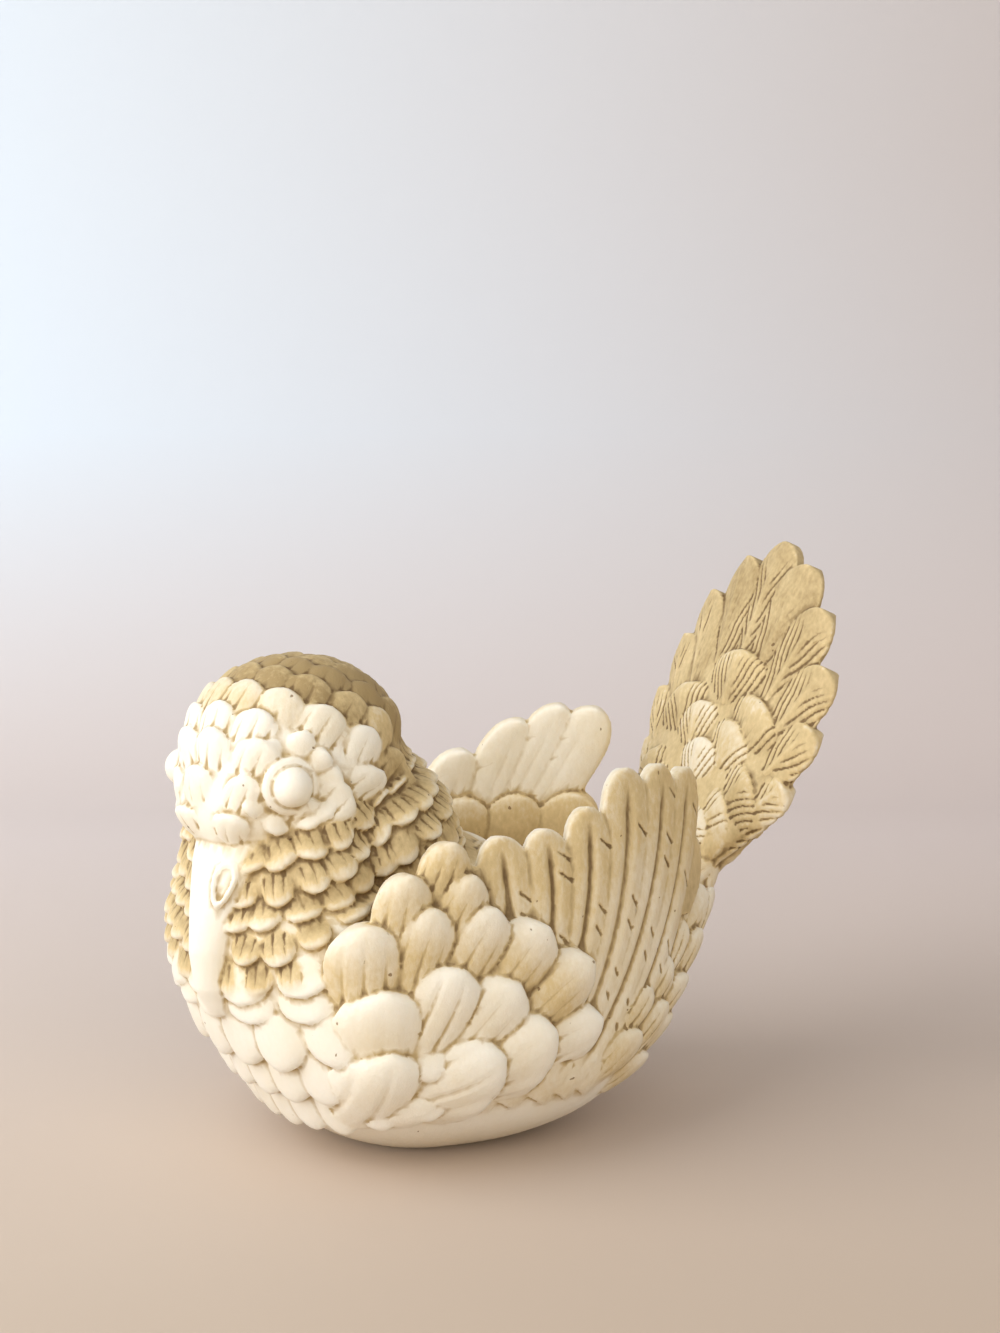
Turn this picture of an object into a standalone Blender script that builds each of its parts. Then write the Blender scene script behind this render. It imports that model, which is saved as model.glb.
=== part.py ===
"""A dove cast in white alabaster, at rest with its bill laid on its breast.

The bird is one solid. A smooth core is fused from a lofted hull, the masses of the head and neck,
two raised wings and a fanned tail. Feathers are then laid over the core in rows, each a rounded
shield that is sunk at its root and proud at its tip, and all of it is fused and cut flat below.

The bill side faces -Y, the tail +Y and the left wing +X. The origin is the centre of the flat
underside. Lengths are in metres.
"""

import math
import random

import bmesh
import bpy
import numpy as np
from mathutils import Matrix, Vector
from mathutils.bvhtree import BVHTree

# Driving dimensions
HEIGHT = 0.1143  # floor to the tip of the tail
WING_THICKNESS = 0.0046  # through one of the wing's long feathers
TAIL_THICKNESS = 0.0050  # through one of the tail's long feathers
SMALL_RELIEF = 0.0019  # how far a small feather's tip stands proud
LARGE_RELIEF = 0.0024  # the same for the large feathers of wing, breast and flank
ROOT_SINK = -0.0006  # how far a feather's root lies under the core's skin
RIM_HEIGHT = 0.0042  # plain band between the floor and the lowest feathers

# The figure's pose and proportions are shares of its height: a place of 114.3 is the whole height.
UNIT = HEIGHT / 114.3

# Fineness of the solid
CORE_VOXEL = 0.0013
SKIN_VOXEL = 0.0007
TRIANGLES = 9800

# Hull sections from breast to rump: place along Y, half width, underside, top
HULL_SECTIONS = (
    (-54.0, 3.0, 37.0, 44.0),
    (-51.5, 14.5, 31.0, 53.0),
    (-46.0, 25.0, 23.0, 60.0),
    (-38.0, 32.5, 12.0, 64.0),
    (-29.0, 37.0, 3.5, 63.0),
    (-18.0, 39.3, -1.5, 58.0),
    (-4.0, 40.2, -3.0, 52.0),
    (9.0, 39.8, -2.2, 49.0),
    (21.0, 37.6, 1.0, 48.0),
    (32.0, 32.8, 8.5, 48.5),
    (41.0, 27.0, 19.0, 49.5),
    (49.0, 20.5, 30.5, 51.0),
    (56.0, 13.0, 41.0, 54.0),
    (62.0, 5.0, 48.5, 57.0),
)

# Head frame: centre, turn towards the left wing, and its masses as (side, forward, up) with radii
HEAD_CENTRE = (2.0, -31.5, 77.0)
HEAD_TURN = math.radians(25.0)
HEAD_MASSES = (
    ((0.0, 0.0, 0.0), (20.5, 22.0, 18.5)),
    ((0.0, 14.0, -6.5), (13.5, 10.0, 11.0)),
    ((14.5, 5.5, -9.5), (7.0, 8.0, 7.5)),
    ((-14.5, 5.5, -9.5), (7.0, 8.0, 7.5)),
)
NECK_MASSES = (
    ((0.0, -17.0, 61.0), (25.0, 16.5, 17.0)),
    ((1.0, -33.0, 56.0), (26.0, 18.5, 19.0)),
    ((0.0, -8.0, 48.0), (29.0, 20.0, 14.0)),
)

# Lines that the rings of feathers run round, each from its first ring to its last
NECK_LINE = ((2.0, -31.0, 72.7), (0.0, -24.0, 56.6))
COLLAR_LINE = ((0.0, -23.0, 50.5), (0.0, -22.0, 47.0))
BREAST_LINE = ((0.0, -20.0, 42.0), (0.0, -12.0, 18.0))
REAR_LINE = ((0.0, 8.0, 12.0), (0.0, 52.0, 54.0))

# Eye: a ball in a raised ring, on both sides of the head frame. The right one lies a little deeper.
EYE_PLACES = ((15.2, 15.6, -1.6), (-14.3, 14.7, -1.6))
EYE_RADIUS = 0.0038
EYE_RING_RADIUS = 0.0048
EYE_RING_THICKNESS = 0.0013
EYE_RING_SINK = 0.0009

# Bill: places down the breast with half width and half depth
BILL_SECTIONS = (
    ((11.5, -45.5, 67.0), 8.0, 4.5),
    ((12.6, -48.6, 60.0), 6.6, 4.2),
    ((13.6, -51.4, 52.0), 4.2, 3.8),
    ((14.4, -53.0, 44.0), 2.9, 3.3),
    ((14.4, -52.6, 37.0), 2.3, 2.9),
    ((13.6, -51.2, 31.5), 1.2, 1.6),
)
BILL_SKEW = 0.5  # the bill lies on a slanting part of the breast

# Tips of each wing's long feathers as (along Y, up), from shoulder to rear. The right wing is set
# further back than the left and lies lower at the shoulder, and its feathers are swept by WING_SWEEP.
LEFT_WING_TIPS = (
    (-13.5, 61.5),
    (-4.8, 65.5),
    (5.0, 66.0),
    (14.5, 69.0),
    (25.5, 75.0),
    (34.5, 74.5),
    (42.5, 72.5),
)
RIGHT_WING_TIPS = (
    (-9.0, 57.0),
    (1.0, 59.5),
    (11.0, 62.5),
    (21.5, 68.0),
    (32.0, 75.0),
    (40.5, 78.0),
    (47.0, 77.5),
)
WING_SWEEP = {1: 0.0, -1: 10.0}
WING_WRIST = (-29.0, 17.0)
WING_LEAN = 0.085
LONG_FEATHER_WIDTH = 12.0
WING_PLATE_WIDTH = 9.6  # half width of the strips that tie the long feathers together
WING_PLATE_REACH = 0.90  # how far up the feathers the strips run
WING_PLATE_TAPER = 0.10  # how much narrower the strips are at their upper ends

# Rows of coverts on a wing, as places from its wrist: first tip, bend, last tip, count and width
COVERT_ROWS = (
    ((15.0, 48.5), (15.5, 48.5), (16.0, 48.5), 1, 9.5),
    ((6.5, 43.5), (12.0, 44.5), (18.0, 42.5), 2, 11.5),
    ((-2.0, 35.0), (24.0, 43.0), (42.0, 23.5), 5, 13.5),
    ((2.5, 23.0), (25.0, 31.0), (33.5, 12.0), 4, 16.0),
    ((3.0, 12.0), (14.0, 13.5), (22.5, 9.5), 2, 16.0),
    ((12.0, 0.5), (26.0, 1.5), (44.0, 13.0), 4, 11.5),
)
COVERT_LENGTH = 16.5
COVERT_CROWN = 0.0027

# Tail fan: root, lean back from upright, spread to each side and reach of its feathers
TAIL_ROOT = (0.0, 54.5, 46.0)
TAIL_LEAN = math.radians(22.5)
TAIL_SPREAD = math.radians(50.0)
TAIL_FEATHERS = 11
TAIL_SWEEP = 0.0018
TAIL_LONGEST = 73.1  # the middle feather, root to tip
TAIL_TAPER = 0.50  # how much shorter the outermost feathers are
TAIL_PLATE_FLARE = 0.09  # how the strips under the feathers widen with length
TAIL_COVERT_ROWS = ((0.38, 3), (0.52, 4), (0.66, 5))  # share of the feather's length, and count
TAIL_COVERT_STEP = 0.12  # how much lower each covert row lies than the one before

ALABASTER = (0.86, 0.80, 0.68, 1.0)
FAR = 1.0  # a ray's start, well outside the statue


def place(x, y, z):
    """The point at a place of the figure."""
    return Vector((x, y, z)) * UNIT


def section_curves():
    """Half width, underside and top of the hull as functions of the place along Y."""
    table = np.array(HULL_SECTIONS)
    slopes = np.gradient(table[:, 1:], table[:, 0], axis=0)

    def at(y):
        """Cubic Hermite interpolation between the sections."""
        y = min(max(y, table[0, 0]), table[-1, 0])
        i = min(int(np.searchsorted(table[:, 0], y, side="right")) - 1, len(table) - 2)
        gap = table[i + 1, 0] - table[i, 0]
        t = (y - table[i, 0]) / gap
        a, b = table[i, 1:], table[i + 1, 1:]
        return (
            (1 + 2 * t) * (1 - t) ** 2 * a
            + t * (1 - t) ** 2 * gap * slopes[i]
            + t * t * (3 - 2 * t) * b
            + t * t * (t - 1) * gap * slopes[i + 1]
        )

    return at


HULL = section_curves()


def loft(bm, rings):
    """Adds a closed skin through rings of equally many points, each end closed by a fan."""
    rows = [[bm.verts.new(point) for point in ring] for ring in rings]
    count = len(rows[0])
    for near, far in zip(rows, rows[1:]):
        for i in range(count):
            j = (i + 1) % count
            bm.faces.new((near[i], near[j], far[j], far[i]))
    for row in (rows[0], rows[-1]):
        centre = bm.verts.new(sum((v.co for v in row), Vector()) / count)
        for i in range(count):
            bm.faces.new((row[i], row[(i + 1) % count], centre))


def add_ellipsoid(bm, frame, centre, radii):
    """Adds an ellipsoid whose centre and radii are places in a frame."""
    shape = Matrix.Diagonal((*[r * UNIT for r in radii], 1.0))
    matrix = frame @ Matrix.Translation(place(*centre)) @ shape
    bmesh.ops.create_icosphere(bm, subdivisions=4, radius=1.0, matrix=matrix)


def head_frame():
    """Matrix from (side, forward, up) of the head to the statue's frame."""
    turn = Matrix.Rotation(HEAD_TURN, 4, "Z")
    forward_is_minus_y = Matrix.Rotation(math.pi, 4, "Z") @ Matrix.Diagonal((-1, 1, 1, 1))
    return Matrix.Translation(place(*HEAD_CENTRE)) @ turn @ forward_is_minus_y


def add_hull(bm):
    """Adds the body: an ellipse at each section from breast to rump."""
    rings = []
    for y in np.linspace(HULL_SECTIONS[0][0], HULL_SECTIONS[-1][0], 60):
        half, low, high = HULL(y)
        middle = (low + high) / 2
        rings.append(
            [
                place(half * math.cos(a), y, middle + (high - low) / 2 * math.sin(a))
                for a in np.linspace(0, math.tau, 64, endpoint=False)
            ]
        )
    loft(bm, rings)


def wing_sheet(side):
    """The middle surface of a wing, as a function of places along Y and up.

    Low down it is the hull's own flank. Above the hull's widest line it stands up and leans in.
    """

    def at(y, z):
        half, low, high = HULL(y)
        middle = (low + high) / 2
        if z < middle:
            share = min((middle - z) / (middle - low), 0.98)
            x = half * math.sqrt(1 - share * share)
        else:
            x = half * (1 - WING_LEAN * ((z - middle) / 40.0) ** 2)
        return place(side * (x - 0.8), y, z)

    return at


def tail_sheet(u, v):
    """The middle surface of the tail: u across and v along it, as places."""
    forward = Vector((0.0, -math.cos(TAIL_LEAN), math.sin(TAIL_LEAN)))
    along = Vector((0.0, math.sin(TAIL_LEAN), math.cos(TAIL_LEAN)))
    bow = -TAIL_SWEEP * u * u
    return place(*TAIL_ROOT) + (Vector((u, 0, 0)) + along * v + forward * bow) * UNIT


def sheet_normal(sheet, u, v):
    """Unit normal of a sheet, by the right-hand rule from u to v."""
    step = 0.4
    across = sheet(u + step, v) - sheet(u - step, v)
    along = sheet(u, v + step) - sheet(u, v - step)
    return across.cross(along).normalized()


def on_sheet(sheet, line, facing):
    """Maps a feather's own coordinates onto a sheet, along a line of (u, v) places.

    facing is +1 or -1: the side of the sheet that the feather's height counts from.
    """
    points = [Vector(p) for p in line]

    def at(share, across, height):
        x = share * (len(points) - 1)
        i = min(int(x), len(points) - 2)
        middle = points[i].lerp(points[i + 1], x - i)
        heading = (points[i + 1] - points[i]).normalized()
        if 0 < i < len(points) - 2:
            heading = (points[i + 2] - points[i - 1]).normalized()
        u = middle.x - heading.y * across / UNIT
        v = middle.y + heading.x * across / UNIT
        return sheet(u, v) + sheet_normal(sheet, u, v) * (facing * height)

    return at


def on_skin(tree, root, heading, length):
    """Maps a feather's own coordinates onto a skin, from a root point and towards a heading."""
    point, normal, _, _ = tree.find_nearest(root)
    forward = (heading - normal * heading.dot(normal)).normalized()
    side = normal.cross(forward)

    def at(share, across, height):
        flat = point + forward * (share * length) + side * across
        near, up, _, _ = tree.find_nearest(flat)
        return near + up * height

    return at


def add_feather(bm, at, width, root, tip, crown, under, waist=0.62, blunt=0.45, tilt=0.0, fine=(9, 7)):
    """Adds one feather as a loft of its cross-sections.

    at maps (share of the length, across, height) to a point. The feather is widest at `blunt`
    of its length, `waist` of that width at the root, and round at the tip. Its top climbs from
    height `root` to `tip`, with a crown across it and one edge raised by `tilt`. `under` gives
    the height of its underside from the height of its top.
    """
    along, around = fine
    rings = []
    for share in np.sin(np.linspace(0, math.pi / 2, along)):
        if share < blunt:
            half = width / 2 * (waist + (1 - waist) * math.sin(share / blunt * math.pi / 2))
        else:
            reach = (share - blunt) / (1 - blunt)
            half = width / 2 * math.sqrt(max(1 - reach**2.2, 0.004))
        tops, unders = [], []
        for t in np.linspace(-1, 1, around):
            edge = 1 - 0.25 * t**4 - 0.2 * share**16
            dome = crown * (1 - t * t) * (1 - 0.5 * share**6)
            top = root + (tip - root) * share * edge + dome + tilt * t
            tops.append(at(share, half * t, top))
            unders.append(at(share, half * 0.9 * t, under(top)))
        rings.append(tops + unders[::-1])
    loft(bm, rings)


def buried(height):
    """Underside of a feather laid on the core: well inside it."""
    return -0.0012


def mirrored(height):
    """Underside of a feather that is carved on both faces."""
    return -height


def curve_through(start, bend, end, count=9):
    """Points on the quadratic curve from start to end that leans towards bend."""
    points = []
    for t in np.linspace(0, 1, count):
        weights = ((1 - t) ** 2, 2 * t * (1 - t), t * t)
        points.append(tuple(sum(w * p[k] for w, p in zip(weights, (start, bend, end))) for k in (0, 1)))
    return points


def wing_tips(side):
    """Tips of a wing's long feathers."""
    return LEFT_WING_TIPS if side > 0 else RIGHT_WING_TIPS


def wing_line(side, tip, reach=1.0):
    """Middle line of a long wing feather: up from the flank, then curving to its tip."""
    root = (WING_WRIST[0] + 0.58 * (tip[0] - WING_WRIST[0]), WING_WRIST[1] - 2.0)
    bend = (tip[0] + 5.0 - 0.18 * tip[0] - WING_SWEEP[side], 0.58 * tip[1])
    end = tuple(r + (t - r) * reach for r, t in zip(root, tip))
    return curve_through(root, bend, end)


def add_wing_plate(bm, side):
    """Adds the inner thickness that ties a wing's long feathers together."""
    sheet = wing_sheet(side)
    for tip in wing_tips(side):
        at = on_sheet(sheet, wing_line(side, tip, WING_PLATE_REACH), side)
        half = WING_THICKNESS / 2
        rings = []
        for share in np.linspace(0, 1, 8):
            width = WING_PLATE_WIDTH * (1 - WING_PLATE_TAPER * share) * math.sqrt(1.2 - share**6) * UNIT
            rings.append(
                [at(share, width * t, half * h) for t, h in ((-1, -0.6), (1, -0.6), (1, 0.6), (-1, 0.6))]
            )
        loft(bm, rings)


def tail_reach(angle):
    """Length of the tail feather at an angle from the middle one, as a place."""
    return TAIL_LONGEST * (1 - TAIL_TAPER * abs(angle / TAIL_SPREAD) ** 1.5)


def tail_line(angle, reach):
    """Middle line of a tail feather, from the fan's root out to `reach`."""
    start = 8.0
    line = []
    for t in np.linspace(0, 1, 7):
        out = start + (reach - start) * t
        line.append((math.sin(angle) * out, math.cos(angle) * out - 6.0 * (1 - t)))
    return line


def add_tail_plate(bm):
    """Adds the inner thickness that ties the tail's feathers together, with its root."""
    for angle in np.linspace(-TAIL_SPREAD, TAIL_SPREAD, TAIL_FEATHERS * 2 - 1):
        reach = 0.84 * tail_reach(angle)
        at = on_sheet(tail_sheet, tail_line(angle, reach), 1)
        rings = []
        for share in np.linspace(0, 1, 8):
            width = (2.2 + TAIL_PLATE_FLARE * reach * share) * UNIT
            thick = TAIL_THICKNESS / 2 * (1.9 - 1.3 * share)
            rings.append([at(share, width * t, thick * h) for t, h in ((-1, -1), (1, -1), (1, 1), (-1, 1))])
        loft(bm, rings)


def add_bill(bm):
    """Adds the bill, an oval loft that lies down the breast."""
    rings = []
    for centre, half_width, half_depth in BILL_SECTIONS:
        rings.append(
            [
                place(
                    centre[0] + half_width * math.cos(a),
                    centre[1] + half_depth * math.sin(a) + BILL_SKEW * half_width * math.cos(a),
                    centre[2],
                )
                for a in np.linspace(0, math.tau, 20, endpoint=False)
            ]
        )
    loft(bm, rings)


def fused(name, bm, voxel, smooth_steps):
    """A mesh object of everything in bm fused into one skin, a little smoothed."""
    bmesh.ops.recalc_face_normals(bm, faces=bm.faces)
    mesh = bpy.data.meshes.new(name)
    bm.to_mesh(mesh)
    bm.free()
    obj = bpy.data.objects.new(name, mesh)
    bpy.context.scene.collection.objects.link(obj)
    remesh = obj.modifiers.new("fuse", "REMESH")
    remesh.mode = "VOXEL"
    remesh.voxel_size = voxel
    smooth = obj.modifiers.new("soften", "SMOOTH")
    smooth.factor = 0.5
    smooth.iterations = smooth_steps
    return obj


def evaluated_mesh(obj):
    """The object's mesh with its modifiers applied."""
    graph = bpy.context.evaluated_depsgraph_get()
    return bpy.data.meshes.new_from_object(obj.evaluated_get(graph))


def outer_shell(bm):
    """Removes everything but the largest connected shell."""
    left = set(bm.verts)
    shells = []
    while left:
        found, front = set(), [left.pop()]
        while front:
            vert = front.pop()
            found.add(vert)
            for edge in vert.link_edges:
                other = edge.other_vert(vert)
                if other in left:
                    left.remove(other)
                    front.append(other)
        shells.append(found)
    shells.sort(key=len)
    for shell in shells[:-1]:
        bmesh.ops.delete(bm, geom=list(shell), context="VERTS")


def make_core(with_plates):
    """The smooth bird that the feathers are laid on, with or without its wings and tail."""
    bm = bmesh.new()
    add_hull(bm)
    frame = head_frame()
    for centre, radii in HEAD_MASSES:
        add_ellipsoid(bm, frame, centre, radii)
    for centre, radii in NECK_MASSES:
        add_ellipsoid(bm, Matrix.Identity(4), centre, radii)
    if with_plates:
        for side in (1, -1):
            add_wing_plate(bm, side)
        add_tail_plate(bm)
    core = fused("core", bm, CORE_VOXEL, 8)
    skin = bmesh.new()
    skin.from_mesh(evaluated_mesh(core))
    bpy.data.objects.remove(core)
    outer_shell(skin)
    return skin


def hit_from_outside(tree, centre, direction):
    """The outermost point of the skin in a direction from a centre inside it."""
    return tree.ray_cast(centre + direction * FAR, -direction)[0]


def past_neckline(point):
    """How far a point lies beyond the first ring of neck feathers, towards the breast and back."""
    start, end = (place(*p) for p in NECK_LINE)
    return (point - start).dot((end - start).normalized())


def add_head_feathers(bm, tree, chance):
    """Scales in rings round the bill's root, their tips lying back over crown and cheeks."""
    frame = head_frame()
    centre = frame.translation
    turn = frame.to_3x3()
    pole = (turn @ Vector((0.0, 0.66, -0.75))).normalized()
    side = (turn @ Vector((1.0, 0.0, 0.0))).normalized()
    other = pole.cross(side)
    eyes = [frame @ place(*eye) for eye in EYE_PLACES]
    for ring, polar in enumerate(np.radians(np.arange(14, 150, 16.0))):
        size = (8.6 + 1.8 * math.sin(polar)) * UNIT
        count = max(round(math.tau * math.sin(polar) * 21.5 * UNIT / (0.80 * size)), 6)
        for i in range(count):
            around = math.tau * (i + 0.5 * (ring % 2)) / count + chance.uniform(-0.03, 0.03)
            ray = pole * math.cos(polar) + (side * math.cos(around) + other * math.sin(around)) * math.sin(polar)
            root = hit_from_outside(tree, centre, ray)
            if root is None or min((root - eye).length for eye in eyes) < 7.0 * UNIT:
                continue
            if past_neckline(root) > 3.0 * UNIT:
                continue
            width = size * chance.uniform(0.86, 1.06)
            at = on_skin(tree, root, ray - pole * 2.0, size * 1.3)
            add_feather(bm, at, width, ROOT_SINK, SMALL_RELIEF, 0.0005, buried)


def add_ringed_feathers(bm, tree, start, end, rows, size, relief, keep, chance):
    """Rows of feathers in rings round a line from start to end, tips pointing along it.

    size gives (width, length) at a share of the line, and keep tells which root points count.
    """
    start, end = place(*start), place(*end)
    axis = (end - start).normalized()
    side = axis.orthogonal().normalized()
    other = axis.cross(side)
    for row in range(rows):
        share = row / (rows - 1)
        centre = start.lerp(end, share)
        width, length = (s * UNIT for s in size(share))
        edge = hit_from_outside(tree, centre, Vector((1, 0, 0)))
        radius = (edge - centre).length if edge else 30 * UNIT
        count = max(round(math.tau * radius / (0.86 * width)), 5)
        for i in range(count):
            around = math.tau * (i + 0.5 * (row % 2)) / count + chance.uniform(-0.03, 0.03)
            ray = side * math.cos(around) + other * math.sin(around)
            root = hit_from_outside(tree, centre, ray)
            if root is None or not keep(root / UNIT):
                continue
            at = on_skin(tree, root, axis, length * chance.uniform(0.94, 1.08))
            add_feather(bm, at, width * chance.uniform(0.92, 1.08), ROOT_SINK, relief, 0.0005, buried)


def add_wing_feathers(bm, side, chance):
    """The wing's long feathers, and rows of coverts fanned out from the wrist on its outer face."""
    sheet = wing_sheet(side)
    half = WING_THICKNESS / 2
    for tip in wing_tips(side):
        at = on_sheet(sheet, wing_line(side, tip), side)
        add_feather(
            bm,
            at,
            LONG_FEATHER_WIDTH * UNIT,
            0.15 * half,
            0.65 * half,
            0.45 * half,
            mirrored,
            waist=0.75,
            blunt=0.84,
            tilt=-0.25 * half * side,
            fine=(14, 9),
        )
    for first, bend, last, count, width in COVERT_ROWS:
        tips = curve_through(first, bend, last, count)
        for step in tips:
            length = COVERT_LENGTH * chance.uniform(0.95, 1.05)
            heading = Vector((step[0], step[1] + 3.0)).normalized()
            tip = Vector(step) + Vector(WING_WRIST)
            line = [tip - heading * length * back for back in np.linspace(1, 0, 6)]
            at = on_sheet(sheet, line, side)
            add_feather(
                bm,
                at,
                width * UNIT * chance.uniform(0.94, 1.06),
                half - 0.0018,
                half + 0.6 * LARGE_RELIEF,
                COVERT_CROWN,
                buried,
                blunt=0.57,
            )
    for i in range(5):
        y = 2.0 + 10.5 * i
        line = [(y - 5.0, 44.0), (y - 2.5, 50.0), (y, 56.5 + 0.6 * i)]
        at = on_sheet(sheet, line, -side)
        add_feather(bm, at, 13.0 * UNIT, half - 0.0006, half + 0.0011, 0.0007, buried)


def add_tail_feathers(bm, chance):
    """The tail's long feathers, and rows of coverts on both faces."""
    half = TAIL_THICKNESS / 2
    for k in range(TAIL_FEATHERS):
        angle = -TAIL_SPREAD + 2 * TAIL_SPREAD * k / (TAIL_FEATHERS - 1)
        reach = tail_reach(angle)
        at = on_sheet(tail_sheet, tail_line(angle, reach), 1)
        add_feather(
            bm,
            at,
            (4.0 + 0.145 * reach) * UNIT,
            0.3 * half,
            0.65 * half,
            0.45 * half,
            mirrored,
            waist=0.5,
            blunt=0.86,
            tilt=0.3 * half * np.sign(angle) * (abs(angle) > 0.01),
            fine=(14, 9),
        )
    for facing in (1, -1):
        for row, (reach_share, count) in enumerate(TAIL_COVERT_ROWS):
            for i in range(count):
                angle = TAIL_SPREAD * 0.86 * (2 * i / (count - 1) - 1)
                angle += 0.04 * (row % 2) + chance.uniform(-0.03, 0.03)
                reach = tail_reach(angle) * reach_share
                line = [(math.sin(angle) * r, math.cos(angle) * r) for r in np.linspace(reach - 15.0, reach, 5)]
                at = on_sheet(tail_sheet, line, facing)
                lift = half * (1.0 - TAIL_COVERT_STEP * row)
                add_feather(
                    bm,
                    at,
                    (12.0 + 0.18 * reach) * UNIT,
                    lift - 0.0008,
                    lift + 0.0016,
                    0.0013,
                    buried,
                    blunt=0.55,
                )


def add_eyes(bm):
    """Adds both eyes: a ball set in a ring that follows the cheek."""
    frame = head_frame()
    for eye in EYE_PLACES:
        outward = Vector((math.copysign(0.86, eye[0]), 0.5, 0.0)).normalized()
        at = frame @ Matrix.Translation(place(*eye))
        bmesh.ops.create_icosphere(bm, subdivisions=3, radius=EYE_RADIUS, matrix=at)
        turn = at @ outward.to_track_quat("Z", "Y").to_matrix().to_4x4()
        rings = []
        for a in np.linspace(0, math.tau, 24, endpoint=False):
            rings.append(
                [
                    turn
                    @ Vector(
                        (
                            math.cos(a) * (EYE_RING_RADIUS + EYE_RING_THICKNESS * math.cos(b)),
                            math.sin(a) * (EYE_RING_RADIUS + EYE_RING_THICKNESS * math.cos(b)),
                            EYE_RING_THICKNESS * math.sin(b) - EYE_RING_SINK,
                        )
                    )
                    for b in np.linspace(0, math.tau, 10, endpoint=False)
                ]
            )
        add_torus(bm, rings)


def add_torus(bm, rings):
    """Adds a closed tube through rings, the last joined to the first."""
    rows = [[bm.verts.new(point) for point in ring] for ring in rings]
    for near, far in zip(rows, rows[1:] + rows[:1]):
        for i in range(len(near)):
            j = (i + 1) % len(near)
            bm.faces.new((near[i], near[j], far[j], far[i]))


def above_rim(point):
    """True for a place that is high enough for a feather's root."""
    return point.z * UNIT > RIM_HEIGHT + 0.004


def on_breast(point):
    """True for a place in front of the wings, well above the plain band at the base."""
    return point.z * UNIT > RIM_HEIGHT + 0.011 and point.y < -20.0


def behind_wing(point):
    """True for a place below the wing or behind its last long feather."""
    side = 1 if point.x > 0 else -1
    line = wing_line(side, wing_tips(side)[-1])
    edge = np.interp(point.z, [p[1] for p in line], [p[0] for p in line])
    return point.y > edge - 2.0


def on_rear(point):
    """True for a place behind and below the wings, and between them on the back."""
    half = HULL(point.y)[0]
    on_back = point.z > 40.0 and abs(point.x) < 0.80 * half and point.y > -8.0
    return above_rim(point) and (on_back or behind_wing(point))


def make_dove():
    """The whole statue."""
    chance = random.Random(7)
    skin = make_core(with_plates=False)
    tree = BVHTree.FromBMesh(skin)
    skin.free()
    bm = make_core(with_plates=True)
    add_head_feathers(bm, tree, chance)
    add_ringed_feathers(
        bm, tree, *NECK_LINE, 5, lambda s: (8.0 + s, 7.5), SMALL_RELIEF, above_rim, chance
    )
    add_ringed_feathers(bm, tree, *COLLAR_LINE, 2, lambda s: (12.5, 8.5), SMALL_RELIEF, above_rim, chance)
    add_ringed_feathers(
        bm, tree, *BREAST_LINE, 4, lambda s: (13.5 - 2.0 * s, 12.0), LARGE_RELIEF, on_breast, chance
    )
    add_ringed_feathers(
        bm, tree, *REAR_LINE, 6, lambda s: (13.0 - 2.5 * s, 14.5), LARGE_RELIEF * 0.85, on_rear, chance
    )
    for side in (1, -1):
        add_wing_feathers(bm, side, chance)
    add_tail_feathers(bm, chance)
    add_bill(bm)
    add_eyes(bm)

    rough = fused("rough", bm, SKIN_VOXEL, 1)
    whole = bmesh.new()
    whole.from_mesh(evaluated_mesh(rough))
    bpy.data.objects.remove(rough)
    outer_shell(whole)
    bmesh.ops.triangulate(whole, faces=whole.faces)
    mesh = bpy.data.meshes.new("dove")
    whole.to_mesh(mesh)
    faces = len(whole.faces)
    whole.free()
    dove = bpy.data.objects.new("dove", mesh)
    bpy.context.scene.collection.objects.link(dove)
    thin = dove.modifiers.new("thin out", "DECIMATE")
    thin.ratio = TRIANGLES / faces
    solid = bmesh.new()
    solid.from_mesh(evaluated_mesh(dove))
    dove.modifiers.clear()
    cut_flat(solid)
    solid.to_mesh(mesh)
    solid.free()
    mesh.shade_smooth()
    mesh.set_sharp_from_angle(angle=math.radians(50))
    mesh.materials.append(alabaster())
    return dove


def cut_flat(bm):
    """Cuts the solid off at the floor and closes the cut."""
    geometry = bm.verts[:] + bm.edges[:] + bm.faces[:]
    cut = bmesh.ops.bisect_plane(
        bm, geom=geometry, plane_co=(0, 0, 0), plane_no=(0, 0, -1), clear_outer=True, dist=1e-6
    )
    rim = [edge for edge in cut["geom_cut"] if isinstance(edge, bmesh.types.BMEdge)]
    bmesh.ops.holes_fill(bm, edges=rim, sides=0)
    bmesh.ops.triangulate(bm, faces=[f for f in bm.faces if len(f.verts) > 3])
    bmesh.ops.recalc_face_normals(bm, faces=bm.faces)


def alabaster():
    """Matt cream stone with a slight sheen."""
    material = bpy.data.materials.new("alabaster")
    material.use_nodes = True
    shader = material.node_tree.nodes["Principled BSDF"]
    shader.inputs["Base Color"].default_value = ALABASTER
    shader.inputs["Roughness"].default_value = 0.55
    shader.inputs["Metallic"].default_value = 0.0
    return material


for startup_object in list(bpy.data.objects):
    bpy.data.objects.remove(startup_object)
make_dove()
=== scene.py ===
"""A dove carved in white alabaster, finished for the camera.

The statue is one piece of stone. Its form is first built up as clay: a lofted hull, the masses
of head and neck, two raised wings and a fanned tail are fused into a smooth core. Feathers are
laid over the core in rows and the whole is fused again. Every point of the fused surface then
knows which feather it belongs to, so each feather's strokes are cut into the surface, and the
ochre wash gathers where the carving is deep.

The bill side faces -Y, the tail +Y and the left wing +X. Lengths are in metres. A place is a
length of the figure, of which 114.3 make up the whole height.
"""

from __future__ import annotations

import logging
import math
import random
from collections.abc import Callable, Sequence
from dataclasses import dataclass, field
from enum import Enum

import bmesh
import bpy
import numpy as np
from mathutils import Matrix, Vector
from mathutils.bvhtree import BVHTree
from mathutils.interpolate import poly_3d_calc

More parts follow.
